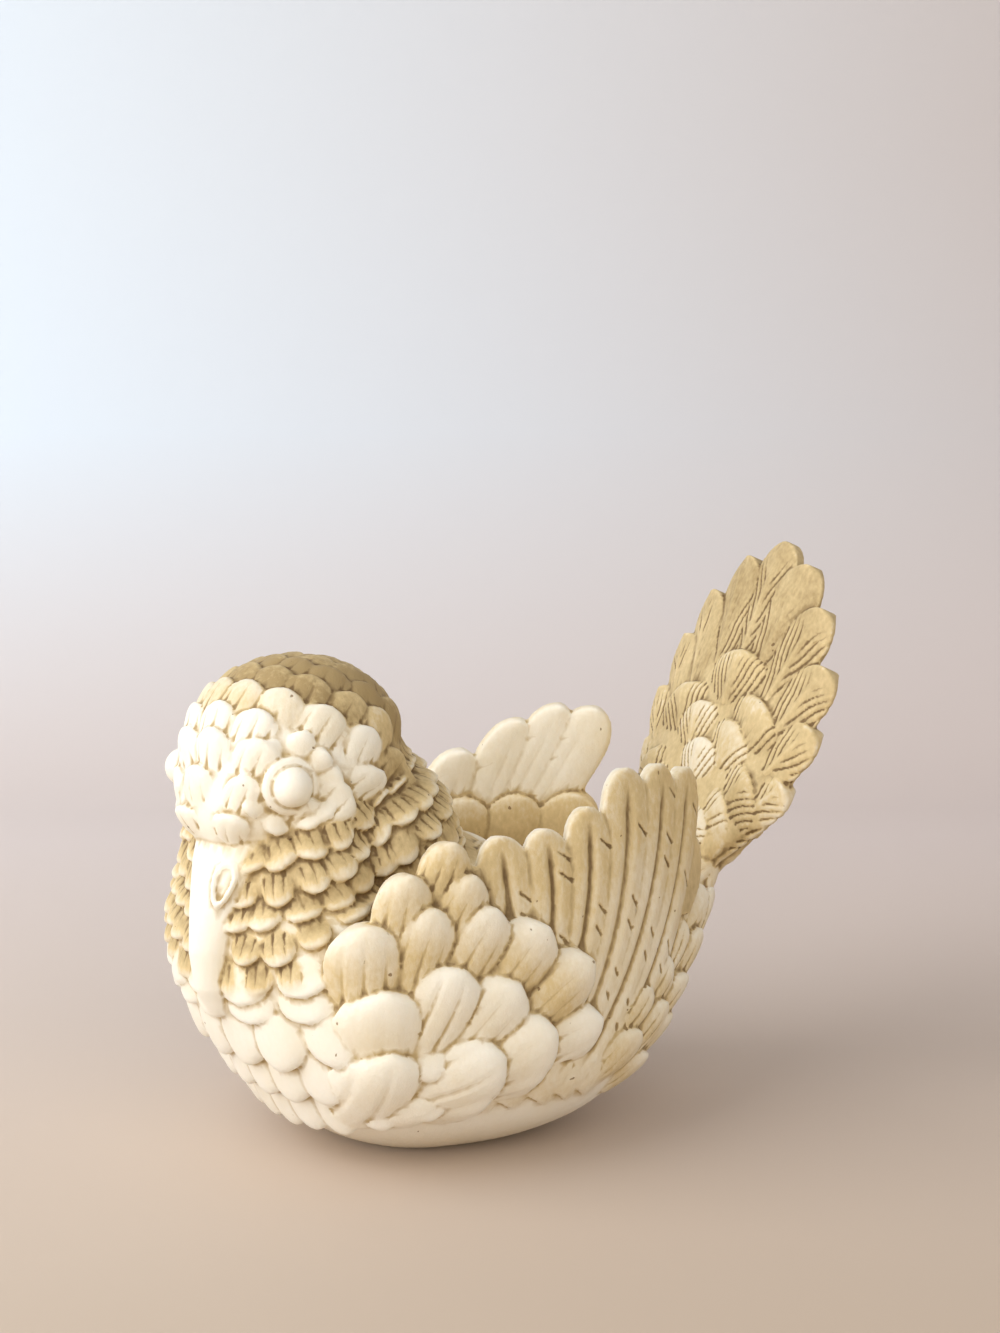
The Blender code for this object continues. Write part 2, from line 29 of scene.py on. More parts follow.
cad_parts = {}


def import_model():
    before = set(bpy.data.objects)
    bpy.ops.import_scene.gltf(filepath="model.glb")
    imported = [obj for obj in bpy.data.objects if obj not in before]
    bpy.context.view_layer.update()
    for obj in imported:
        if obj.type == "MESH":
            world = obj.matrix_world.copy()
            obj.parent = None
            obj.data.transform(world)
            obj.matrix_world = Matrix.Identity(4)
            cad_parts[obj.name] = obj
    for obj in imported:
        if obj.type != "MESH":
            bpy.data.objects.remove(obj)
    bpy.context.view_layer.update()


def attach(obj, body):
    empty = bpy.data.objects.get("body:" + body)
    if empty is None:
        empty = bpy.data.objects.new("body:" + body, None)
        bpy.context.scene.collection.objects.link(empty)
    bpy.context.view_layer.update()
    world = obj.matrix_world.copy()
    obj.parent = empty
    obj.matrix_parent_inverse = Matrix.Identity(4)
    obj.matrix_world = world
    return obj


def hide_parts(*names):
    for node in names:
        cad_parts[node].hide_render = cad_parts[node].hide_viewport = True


HEIGHT = 0.1143
UNIT = HEIGHT / 114.3
FAR = 1.0  # where rays start, well outside the statue
TRIANGLE_BUDGET = 197000

PHOTO_WIDTH = 1000
PHOTO_HEIGHT = 1333

CORNERS = ((-1, -1), (1, -1), (1, 1), (-1, 1))  # of a strip's section, as (across, height)
POLE_GAP = 0.04  # angle left open at an ellipsoid's poles
WIDTH_FACTORS = (0.93, 1.07)  # limits of a feather's random width
LEAN_LIMIT = 0.06  # limit of a feather's random lean, in widths
TIP_POWER = 2.2  # power of the curve that rounds a feather's tip
TIP_LEAST = 0.004  # keeps the last section of a feather open
UNDERSIDE = -1.2  # height of a feather's underside, which is sunk into the skin
UNDER_WIDTH = 0.9  # width of a feather's underside, as a share of its top

log = logging.getLogger("dove")

Place = tuple[float, float, float]
Spot = tuple[float, float]
Mapper = Callable[[float, float, float], Vector]
Sheet = Callable[[float, float], Vector]
Masses = tuple[tuple[Place, Place], ...]
Colour = tuple[float, float, float, float]


def place(x: float, y: float, z: float) -> Vector:
    """The point at a place of the figure."""
    return Vector((x, y, z)) * UNIT


def curve_through(start: Spot, bend: Spot, end: Spot, count: int = 11) -> list[Vector]:
    """Points on the quadratic curve from start to end that leans towards bend.

    Args:
        start: first point of the curve.
        bend: point that the curve leans towards.
        end: last point of the curve.
        count: how many points to return.

    Returns:
        The points, evenly spaced in the curve's own parameter.
    """
    points = []
    for t in np.linspace(0, 1, count).tolist():
        points.append(Vector(start) * (1 - t) ** 2 + Vector(bend) * 2 * t * (1 - t) + Vector(end) * t * t)
    return points


def turns(count: int) -> list[float]:
    """Angles evenly spaced round a full turn."""
    return np.linspace(0, math.tau, count, endpoint=False).tolist()


def ramp(values: np.ndarray, start: float, width: float) -> np.ndarray:
    """0 at start, 1 at start + width, straight between and level beyond; the width may be negative."""
    return np.clip((values - start) / width, 0, 1)


def linked(name: str, data: bpy.types.ID) -> bpy.types.Object:
    """A new object in the scene."""
    obj = bpy.data.objects.new(name, data)
    bpy.context.scene.collection.objects.link(obj)
    return obj


class Carving(Enum):
    """The strokes that are cut into one kind of feather."""

    SMOOTH = 0
    STROKES = 1
    RIBBED = 2
    BARBED = 3


@dataclass(frozen=True)
class Plume:
    """How one kind of feather is shaped, carved and washed. Lengths are places."""

    width: float
    length: float
    root: float
    tip: float
    crown: float
    carving: Carving = Carving.STROKES
    wash: float = 0.3
    tip_wash: float = 0.1
    waist: float = 0.62
    blunt: float = 0.5
    tilt: float = 0.0
    both_faces: bool = False
    lines: int = 4
    fine: tuple[int, int] = (11, 9)

    def swell(self, share: float) -> float:
        """Width at a share of the length, as a share of the greatest width."""
        if share < self.blunt:
            return self.waist + (1 - self.waist) * math.sin(share / self.blunt * math.pi / 2)
        reach = (share - self.blunt) / (1 - self.blunt)
        return math.sqrt(max(1 - reach**TIP_POWER, TIP_LEAST))


@dataclass
class Laid:
    """One feather as it was laid: its kind, its own size in metres and its seed."""

    plume: Plume
    width: float
    length: float
    seed: float
    # On the head's scales this factor also paints shade on the crown and the back.
    stain: float


@dataclass
class Clay:
    """Closed shells of clay, and where each of their points lies on its feather."""

    points: list[Vector] = field(default_factory=list)
    faces: list[tuple[int, ...]] = field(default_factory=list)
    share: list[float] = field(default_factory=list)
    across: list[float] = field(default_factory=list)
    owner: list[int] = field(default_factory=list)
    laid: list[Laid] = field(default_factory=list)

    @classmethod
    def of_mesh(cls, mesh: bpy.types.Mesh) -> Clay:
        """Clay in the shape of a mesh, with no feather on it."""
        count = len(mesh.vertices)
        points = [v.co.copy() for v in mesh.vertices]
        faces = [tuple(p.vertices) for p in mesh.polygons]
        return cls(points, faces, [0.0] * count, [0.0] * count, [-1] * count)

    def loft(
        self,
        rings: Sequence[Sequence[Vector]],
        owner: int = -1,
        marks: Sequence[Spot] = (),
        looped: bool = False,
    ) -> None:
        """Adds a closed skin through rings of equally many points.

        Args:
            rings: the cross-sections, in order.
            owner: the number of the feather that the skin belongs to, or -1 for none.
            marks: the place on the feather, as (share, across), of every ring point in order.
            looped: whether the last ring joins the first. If not, a face closes each end.
        """
        first = len(self.points)
        count = len(rings[0])
        total = count * len(rings)
        for ring in rings:
            self.points.extend(ring)
        for row in range(len(rings) if looped else len(rings) - 1):
            near = first + row * count
            far = first + (row + 1) % len(rings) * count
            for i in range(count):
                j = (i + 1) % count
                self.faces.append((near + i, near + j, far + j, far + i))
        if not looped:
            self.faces.append(tuple(range(first, first + count))[::-1])
            self.faces.append(tuple(range(first + total - count, first + total)))
        marks = marks or [(0.0, 0.0)] * total
        self.share.extend(m[0] for m in marks)
        self.across.extend(m[1] for m in marks)
        self.owner.extend([owner] * total)

    def ellipsoid(self, frame: Matrix, centre: Place, radii: Place) -> None:
        """Adds an ellipsoid whose centre and radii are places in a frame.

        Args:
            frame: matrix from the frame to the statue.
            centre: its centre in the frame.
            radii: its radii along the frame's axes.
        """
        rings = []
        for polar in np.linspace(POLE_GAP, math.pi - POLE_GAP, 24):
            ring = []
            for around in turns(36):
                x = centre[0] + radii[0] * math.sin(polar) * math.cos(around)
                y = centre[1] + radii[1] * math.sin(polar) * math.sin(around)
                z = centre[2] + radii[2] * math.cos(polar)
                ring.append(frame @ place(x, y, z))
            rings.append(ring)
        self.loft(rings)

    def feather(
        self, at: Mapper, plume: Plume, chance: random.Random, size: float = 1.0, stain: float = 1.0
    ) -> None:
        """Adds one feather as a loft of its cross-sections.

        It is widest at `blunt` of its length and round at the tip. Its top climbs from the
        root to the tip under a crown, and one edge is raised by the tilt.

        Args:
            at: maps (share of the length, across, height) to a point.
            plume: the feather's kind.
            chance: source of the feather's small differences.
            size: factor on its width.
            stain: factor on its wash; on the head's scales it also paints shade on the crown and the back.
        """
        width = plume.width * UNIT * size * chance.uniform(*WIDTH_FACTORS)
        number = len(self.laid)
        self.laid.append(Laid(plume, width, plume.length * UNIT, chance.random(), stain))
        along, around = plume.fine
        lean = chance.uniform(-LEAN_LIMIT, LEAN_LIMIT)
        rings = []
        marks = []
        for share in np.sin(np.linspace(0, math.pi / 2, along)):
            swell = plume.swell(share)
            half = width / 2 * swell
            tops, unders, places = [], [], []
            for t in np.linspace(-1, 1, around):
                edge = 1 - 0.25 * t**4 - 0.2 * share**16
                dome = plume.crown * (1 - t * t) * (1 - 0.5 * share**6)
                top = plume.root + (plume.tip - plume.root) * share * edge + dome + plume.tilt * t
                under = -top if plume.both_faces else UNDERSIDE
                sideways = half * t + lean * width * share
                tops.append(at(share, sideways, top * UNIT))
                unders.append(at(share, sideways * UNDER_WIDTH, under * UNIT))
                places.append((share, t * swell))
            rings.append(tops + unders[::-1])
            marks.extend(places + places[::-1])
        self.loft(rings, number, marks)

    def tree(self) -> BVHTree:
        """A search tree over the clay's faces."""
        return BVHTree.FromPolygons(self.points, self.faces)

    def fused(self, name: str, voxel: float, soften: int) -> bpy.types.Mesh:
        """All the clay fused into one skin, without what is sealed inside it.

        Args:
            name: name of the new mesh.
            voxel: how fine the skin is.
            soften: how many times the skin is smoothed.

        Returns:
            A mesh of the outer skin.
        """
        rough = bpy.data.meshes.new(name)
        rough.from_pydata(self.points, [], self.faces)
        obj = linked(name, rough)
        remesh = obj.modifiers.new("fuse", "REMESH")
        remesh.mode = "VOXEL"
        remesh.voxel_size = voxel
        smooth = obj.modifiers.new("soften", "SMOOTH")
        smooth.factor = 0.5
        smooth.iterations = soften
        skin = evaluated(obj)
        bpy.data.objects.remove(obj)
        keep_outer_shell(skin)
        return skin


def evaluated(obj: bpy.types.Object) -> bpy.types.Mesh:
    """The object's mesh with its modifiers applied."""
    graph = bpy.context.evaluated_depsgraph_get()
    return bpy.data.meshes.new_from_object(obj.evaluated_get(graph))


def rows_of(items: bpy.types.bpy_prop_collection, name: str, width: int, kind: type) -> np.ndarray:
    """One row of numbers for each item of a collection."""
    flat = np.empty(len(items) * width, dtype=kind)
    items.foreach_get(name, flat)
    return flat.reshape(-1, width)


def mesh_points(mesh: bpy.types.Mesh) -> np.ndarray:
    """The mesh's points as an array of rows."""
    return rows_of(mesh.vertices, "co", 3, np.float32).astype(np.float64)


def mesh_normals(mesh: bpy.types.Mesh) -> np.ndarray:
    """The mesh's normals at its points as an array of rows."""
    return rows_of(mesh.vertex_normals, "vector", 3, np.float32).astype(np.float64)


def mesh_edges(mesh: bpy.types.Mesh) -> np.ndarray:
    """The mesh's edges as pairs of point numbers."""
    return rows_of(mesh.edges, "vertices", 2, np.int32)


def keep_outer_shell(mesh: bpy.types.Mesh) -> None:
    """Removes every shell of a mesh but its largest, which drops sealed hollows and crumbs."""
    edges = mesh_edges(mesh)
    label = np.arange(len(mesh.vertices))
    while True:
        low = np.minimum(label[edges[:, 0]], label[edges[:, 1]])
        fresh = label.copy()
        np.minimum.at(fresh, edges[:, 0], low)
        np.minimum.at(fresh, edges[:, 1], low)
        fresh = fresh[fresh]
        if np.array_equal(fresh, label):
            break
        label = fresh
    names, sizes = np.unique(label, return_counts=True)
    keep = label == names[np.argmax(sizes)]
    if keep.all():
        return
    number = np.cumsum(keep) - 1
    points = mesh_points(mesh)[keep]
    faces = [
        tuple(int(number[v]) for v in polygon.vertices)
        for polygon in mesh.polygons
        if keep[polygon.vertices[0]]
    ]
    mesh.clear_geometry()
    mesh.from_pydata(points.tolist(), [], faces)


def relaxed(values: np.ndarray, edges: np.ndarray, steps: int) -> np.ndarray:
    """Values at the points of a mesh, each averaged with its neighbours' again and again.

    Args:
        values: one value or one row of values for each point.
        edges: pairs of neighbouring points.
        steps: how many times to average.

    Returns:
        The averaged values, in the same shape.
    """
    count = len(values)
    ends = np.concatenate([edges[:, 0], edges[:, 1]])
    others = np.concatenate([edges[:, 1], edges[:, 0]])
    degree = np.maximum(np.bincount(ends, minlength=count), 1)
    flat = values.reshape(count, -1).astype(np.float64)
    for _ in range(steps):
        mean = np.stack(
            [np.bincount(ends, weights=column[others], minlength=count) / degree for column in flat.T],
            axis=1,
        )
        flat = 0.5 * flat + 0.5 * mean
    return flat.reshape(values.shape)


@dataclass
class Hull:
    """The body from breast to rump, an ellipse at each section."""

    sections: tuple[tuple[float, float, float, float], ...] = (
        (-54.0, 3.0, 37.0, 44.0),
        (-51.5, 14.5, 31.0, 53.0),
        (-46.0, 25.0, 23.0, 60.0),
        (-38.0, 32.5, 12.0, 64.0),
        (-29.0, 37.0, 3.5, 63.0),
        (-18.0, 39.3, -1.5, 58.0),
        (-4.0, 40.2, -3.0, 52.0),
        (9.0, 39.8, -2.2, 49.0),
        (21.0, 37.6, 1.0, 48.0),
        (32.0, 32.8, 8.5, 48.5),
        (41.0, 27.0, 19.0, 49.5),
        (49.0, 20.5, 30.5, 51.0),
        (56.0, 13.0, 41.0, 54.0),
        (62.0, 5.0, 48.5, 57.0),
    )

    def __post_init__(self) -> None:
        """Works out the slopes between the sections."""
        self.table = np.array(self.sections)
        self.slopes = np.gradient(self.table[:, 1:], self.table[:, 0], axis=0)

    def at(self, y: float) -> np.ndarray:
        """Half width, underside and top of the hull.

        Args:
            y: the place along the body.

        Returns:
            The three places, on a smooth curve through the sections.
        """
        table = self.table
        y = min(max(y, table[0, 0]), table[-1, 0])
        i = min(int(np.searchsorted(table[:, 0], y, side="right")) - 1, len(table) - 2)
        gap = table[i + 1, 0] - table[i, 0]
        t = (y - table[i, 0]) / gap
        return (
            (1 + 2 * t) * (1 - t) ** 2 * table[i, 1:]
            + t * (1 - t) ** 2 * gap * self.slopes[i]
            + t * t * (3 - 2 * t) * table[i + 1, 1:]
            + t * t * (t - 1) * gap * self.slopes[i + 1]
        )

    def block_out(self, clay: Clay) -> None:
        """Adds the hull to the clay."""
        rings = []
        for y in np.linspace(self.table[0, 0], self.table[-1, 0], 60):
            half, low, high = self.at(y)
            middle = (low + high) / 2
            rings.append(
                [
                    place(half * math.cos(a), y, middle + (high - low) / 2 * math.sin(a))
                    for a in turns(64)
                ]
            )
        clay.loft(rings)


def on_sheet(sheet: Sheet, line: Sequence[Vector], facing: float) -> Mapper:
    """Maps a feather's own coordinates onto a sheet, along a line of places on it.

    Args:
        sheet: maps (u, v) places to a point.
        line: the feather's middle line as (u, v) places.
        facing: +1 or -1, the side of the sheet that heights count from.

    Returns:
        The feather's mapper.
    """
    step = 0.4

    def normal(u: float, v: float) -> Vector:
        """Unit normal of the sheet, by the right-hand rule from u to v."""
        across = sheet(u + step, v) - sheet(u - step, v)
        along = sheet(u, v + step) - sheet(u, v - step)
        return across.cross(along).normalized()

    def at(share: float, across: float, height: float) -> Vector:
        """The point at a feather's own coordinates."""
        x = share * (len(line) - 1)
        i = min(int(x), len(line) - 2)
        middle = line[i].lerp(line[i + 1], x - i)
        before = line[max(i - 1, 0)]
        after = line[min(i + 2, len(line) - 1)]
        heading = (after - before).normalized()
        u = middle.x - heading.y * across / UNIT
        v = middle.y + heading.x * across / UNIT
        return sheet(u, v) + normal(u, v) * (facing * height)

    return at


def on_skin(tree: BVHTree, root: Vector, heading: Vector, length: float) -> Mapper:
    """Maps a feather's own coordinates onto a skin.

    Args:
        tree: search tree of the skin.
        root: point on the skin where the feather starts.
        heading: direction that the feather points in, roughly along the skin.
        length: the feather's length in metres.

    Returns:
        The feather's mapper.
    """
    point, normal, _, _ = tree.find_nearest(root)
    forward = (heading - normal * heading.dot(normal)).normalized()
    side = normal.cross(forward)

    def at(share: float, across: float, height: float) -> Vector:
        """The point at a feather's own coordinates."""
        near, up, _, _ = tree.find_nearest(point + forward * (share * length) + side * across)
        return near + up * height

    return at


def skin_point(tree: BVHTree, centre: Vector, direction: Vector) -> Vector | None:
    """The outermost point of a skin in a direction from a centre inside it."""
    return tree.ray_cast(centre + direction * FAR, -direction)[0]


@dataclass
class Head:
    """The head: its masses, its scales, both eyes and the frame that they turn with."""

    centre: Place = (2.0, -31.5, 77.0)
    turn: float = math.radians(25.0)
    masses: Masses = (
        ((0.0, 0.0, 0.0), (20.5, 22.0, 18.5)),
        ((0.0, 14.0, -6.5), (13.5, 10.0, 11.0)),
        ((14.5, 5.5, -9.5), (7.0, 8.0, 7.5)),
        ((-14.5, 5.5, -9.5), (7.0, 8.0, 7.5)),
    )
    scale: Plume = Plume(8.8, 8.0, -0.7, 1.5, 0.8, wash=1.7, tip_wash=1.3, waist=0.8, blunt=0.6, lines=3)
    scale_pole: Place = (0.0, 0.56, -0.83)
    first_ring: float = math.radians(12)
    last_ring: float = math.radians(155)
    ring_step: float = math.radians(14.5)
    spacing: float = 0.84
    neckline: float = 3.0
    back_pull: float = 2.0
    patchiness: float = 0.3
    least_stain_and_shade: float = 0.12
    most_stain_and_shade: float = 1.8
    eye_places: tuple[Place, Place] = ((15.2, 15.6, -1.6), (-14.3, 14.7, -1.6))
    eye_radius: float = 3.7
    eye_ring: float = 4.4
    eye_ring_thickness: float = 1.0
    eye_ring_sink: float = 0.9
    eye_rise: float = 0.3
    eye_clearance: float = 7.2
    lobe: Plume = Plume(5.8, 6.0, -0.7, 0.9, 0.7, Carving.SMOOTH, 0.4, 0.1, waist=0.8, blunt=0.55)
    lobes: int = 9
    lobe_reach: float = 4.2

    def frame(self) -> Matrix:
        """Matrix from (side, forward, up) of the head to the statue."""
        facing_bill = Matrix.Rotation(math.pi, 4, "Z") @ Matrix.Diagonal((-1, 1, 1, 1))
        return Matrix.Translation(place(*self.centre)) @ Matrix.Rotation(self.turn, 4, "Z") @ facing_bill

    def block_out(self, clay: Clay) -> None:
        """Adds the head's masses to the clay."""
        for centre, radii in self.masses:
            clay.ellipsoid(self.frame(), centre, radii)

    def lay_scales(
        self, clay: Clay, tree: BVHTree, chance: random.Random, beyond: Callable[[Vector], float]
    ) -> None:
        """Lays scales in rings round the bill's root, their tips lying back over crown and cheeks.

        Args:
            clay: clay to add to.
            tree: search tree of the core.
            chance: source of small differences.
            beyond: tells how far a point lies past the first ring of the neck.
        """
        frame = self.frame()
        turn = frame.to_3x3()
        pole = (turn @ Vector(self.scale_pole)).normalized()
        side = (turn @ Vector((1.0, 0.0, 0.0))).normalized()
        other = pole.cross(side)
        eyes = [frame @ place(*eye) for eye in self.eye_places]
        radius = self.masses[0][1][0] * UNIT
        for ring, polar in enumerate(np.arange(self.first_ring, self.last_ring, self.ring_step)):
            size = 0.86 + 0.22 * math.sin(polar) + 0.09 * (1 - math.cos(polar)) ** 2
            spacing = self.spacing * size * self.scale.width * UNIT
            count = max(round(math.tau * math.sin(polar) * radius / spacing), 6)
            for i in range(count):
                around = math.tau * (i + 0.5 * (ring % 2)) / count + chance.uniform(-0.05, 0.05)
                ray = pole * math.cos(polar)
                ray += (side * math.cos(around) + other * math.sin(around)) * math.sin(polar)
                root = skin_point(tree, frame.translation, ray)
                if root is None or beyond(root) > self.neckline * UNIT:
                    continue
                if min((root - eye).length for eye in eyes) < self.eye_clearance * UNIT:
                    continue
                at = on_skin(tree, root, ray - pole * self.back_pull, self.scale.length * UNIT * size)
                patch = 1.0 + self.patchiness * math.sin(37.0 * i + 11.0 * ring)
                # The scale's wash factor, which also paints shade on the crown and the back of the head.
                stain = self.stain(frame.inverted() @ root / UNIT) * patch
                clay.feather(at, self.scale, chance, size, stain)

    def stain(self, where: Vector) -> float:
        """How strongly a scale is washed: well on the crown and the back, hardly on the face. The wash is
        the stone's own ochre, made stronger on the crown and the back of the head to paint the shade that
        falls there.

        Args:
            where: the scale's place as (side, forward, up) of the head.

        Returns:
            Factor on the scale's wash, with painted shade in it on the crown and the back.
        """
        # Painted shade: climb darkens the crown, and back darkens the back of the head, beyond their own
        # wash, where shade falls.
        climb = 0.5 + (where.z - 1.0 - 0.5 * where.y) / 8.0
        back = 0.9 - (where.y + 3.0) / 8.0
        return min(max(climb, back, self.least_stain_and_shade), self.most_stain_and_shade)

    def set_eyes(self, clay: Clay, tree: BVHTree, chance: random.Random) -> None:
        """Adds both eyes: a ball set in a ring, with small lobes round it.

        Args:
            clay: clay to add to.
            tree: search tree of the core.
            chance: source of small differences.
        """
        frame = self.frame()
        for centre in self.eye_places:
            outward = Vector((math.copysign(0.86, centre[0]), 0.5, 0.0)).normalized()
            axis = frame.to_3x3() @ outward
            side = axis.orthogonal().normalized()
            for i in range(self.lobes):
                around = math.tau * (i + chance.uniform(-0.25, 0.25)) / self.lobes
                heading = side * math.cos(around) + axis.cross(side) * math.sin(around)
                root = frame @ place(*centre) + heading * (self.lobe_reach * UNIT)
                at = on_skin(tree, root, heading, self.lobe.length * UNIT * chance.uniform(0.8, 1.2))
                clay.feather(at, self.lobe, chance)
            clay.ellipsoid(frame, tuple(Vector(centre) + outward * self.eye_rise), (self.eye_radius,) * 3)
            facing = outward.to_track_quat("Z", "Y").to_matrix().to_4x4()
            turn = frame @ Matrix.Translation(place(*centre)) @ facing
            rings = []
            for a in turns(40):
                ring = []
                for b in turns(14):
                    reach = self.eye_ring + self.eye_ring_thickness * math.cos(b)
                    rise = self.eye_ring_thickness * math.sin(b) - self.eye_ring_sink
                    ring.append(turn @ place(math.cos(a) * reach, math.sin(a) * reach, rise))
                rings.append(ring)
            clay.loft(rings, looped=True)


@dataclass
class Bill:
    """The bill that lies down the breast: centre, half width and half depth of its sections."""

    sections: tuple[tuple[Place, float, float], ...] = (
        ((11.5, -45.5, 67.0), 8.0, 4.5),
        ((12.6, -48.6, 60.0), 6.6, 4.2),
        ((13.6, -51.4, 52.0), 4.2, 3.8),
        ((14.4, -53.0, 44.0), 2.9, 3.3),
        ((14.4, -52.6, 37.0), 2.3, 2.9),
        ((13.6, -51.2, 31.5), 1.2, 1.6),
    )
    skew: float = 0.5
    cere_centre: Place = (16.7, -50.9, 57.0)
    cere_across: Place = (0.68, 0.74, 0.0)
    cere_along: Place = (-0.12, 0.35, 0.93)
    cere_half_width: float = 2.5
    cere_half_height: float = 3.9
    cere_thickness: float = 0.65

    def lay(self, clay: Clay) -> None:
        """Adds the bill to the clay as an oval loft, with the raised drop of its cere."""
        rings = []
        for centre, half_width, half_depth in self.sections:
            rings.append(
                [
                    place(
                        centre[0] + half_width * math.cos(a),
                        centre[1] + half_depth * math.sin(a) + self.skew * half_width * math.cos(a),
                        centre[2],
                    )
                    for a in turns(28)
                ]
            )
        clay.loft(rings)
        across, along = Vector(self.cere_across), Vector(self.cere_along)
        outward = across.cross(along)
        drop = []
        for a in turns(32):
            narrow = 0.75 + 0.25 * math.sin(a)
            ring = []
            for b in turns(10):
                swell = self.cere_thickness * math.cos(b)
                x = (self.cere_half_width + swell) * narrow * math.cos(a)
                z = (self.cere_half_height + swell) * math.sin(a)
                centre = Vector(self.cere_centre) + across * x + along * z
                ring.append((centre + outward * (self.cere_thickness * math.sin(b))) * UNIT)
            drop.append(ring)
        clay.loft(drop, looped=True)


@dataclass
class RingedRows:
    """Rows of feathers in rings round a line, their tips pointing along it."""

    start: Place
    end: Place
    rows: int
    plume: Plume
    shrink: float = 0.0
    spacing: float = 0.86

    def axis(self) -> Vector:
        """Direction from the first ring to the last."""
        return (place(*self.end) - place(*self.start)).normalized()

    def past_start(self, point: Vector) -> float:
        """How far a point lies beyond the first ring."""
        return (point - place(*self.start)).dot(self.axis())

    def lay(self, clay: Clay, tree: BVHTree, chance: random.Random, keep: Callable[[Vector], bool]) -> None:
        """Lays the rows on a skin.

        Args:
            clay: clay to add to.
            tree: search tree of the skin.
            chance: source of small differences.
            keep: tells from a root's place whether its feather is wanted.
        """
        axis = self.axis()
        side = axis.orthogonal().normalized()
        other = axis.cross(side)
        for row in range(self.rows):
            share = row / max(self.rows - 1, 1)
            size = 1.0 - self.shrink * share
            centre = place(*self.start).lerp(place(*self.end), share)
            edge = skin_point(tree, centre, Vector((1, 0, 0)))
            radius = (edge - centre).length if edge else 30 * UNIT
            count = max(round(math.tau * radius / (self.spacing * self.plume.width * size * UNIT)), 5)
            for i in range(count):
                around = math.tau * (i + 0.5 * (row % 2)) / count + chance.uniform(-0.04, 0.04)
                ray = side * math.cos(around) + other * math.sin(around)
                root = skin_point(tree, centre, ray)
                if root is None or not keep(root / UNIT):
                    continue
                length = self.plume.length * UNIT * chance.uniform(0.92, 1.08)
                at = on_skin(tree, root, axis, length)
                clay.feather(at, self.plume, chance, size)


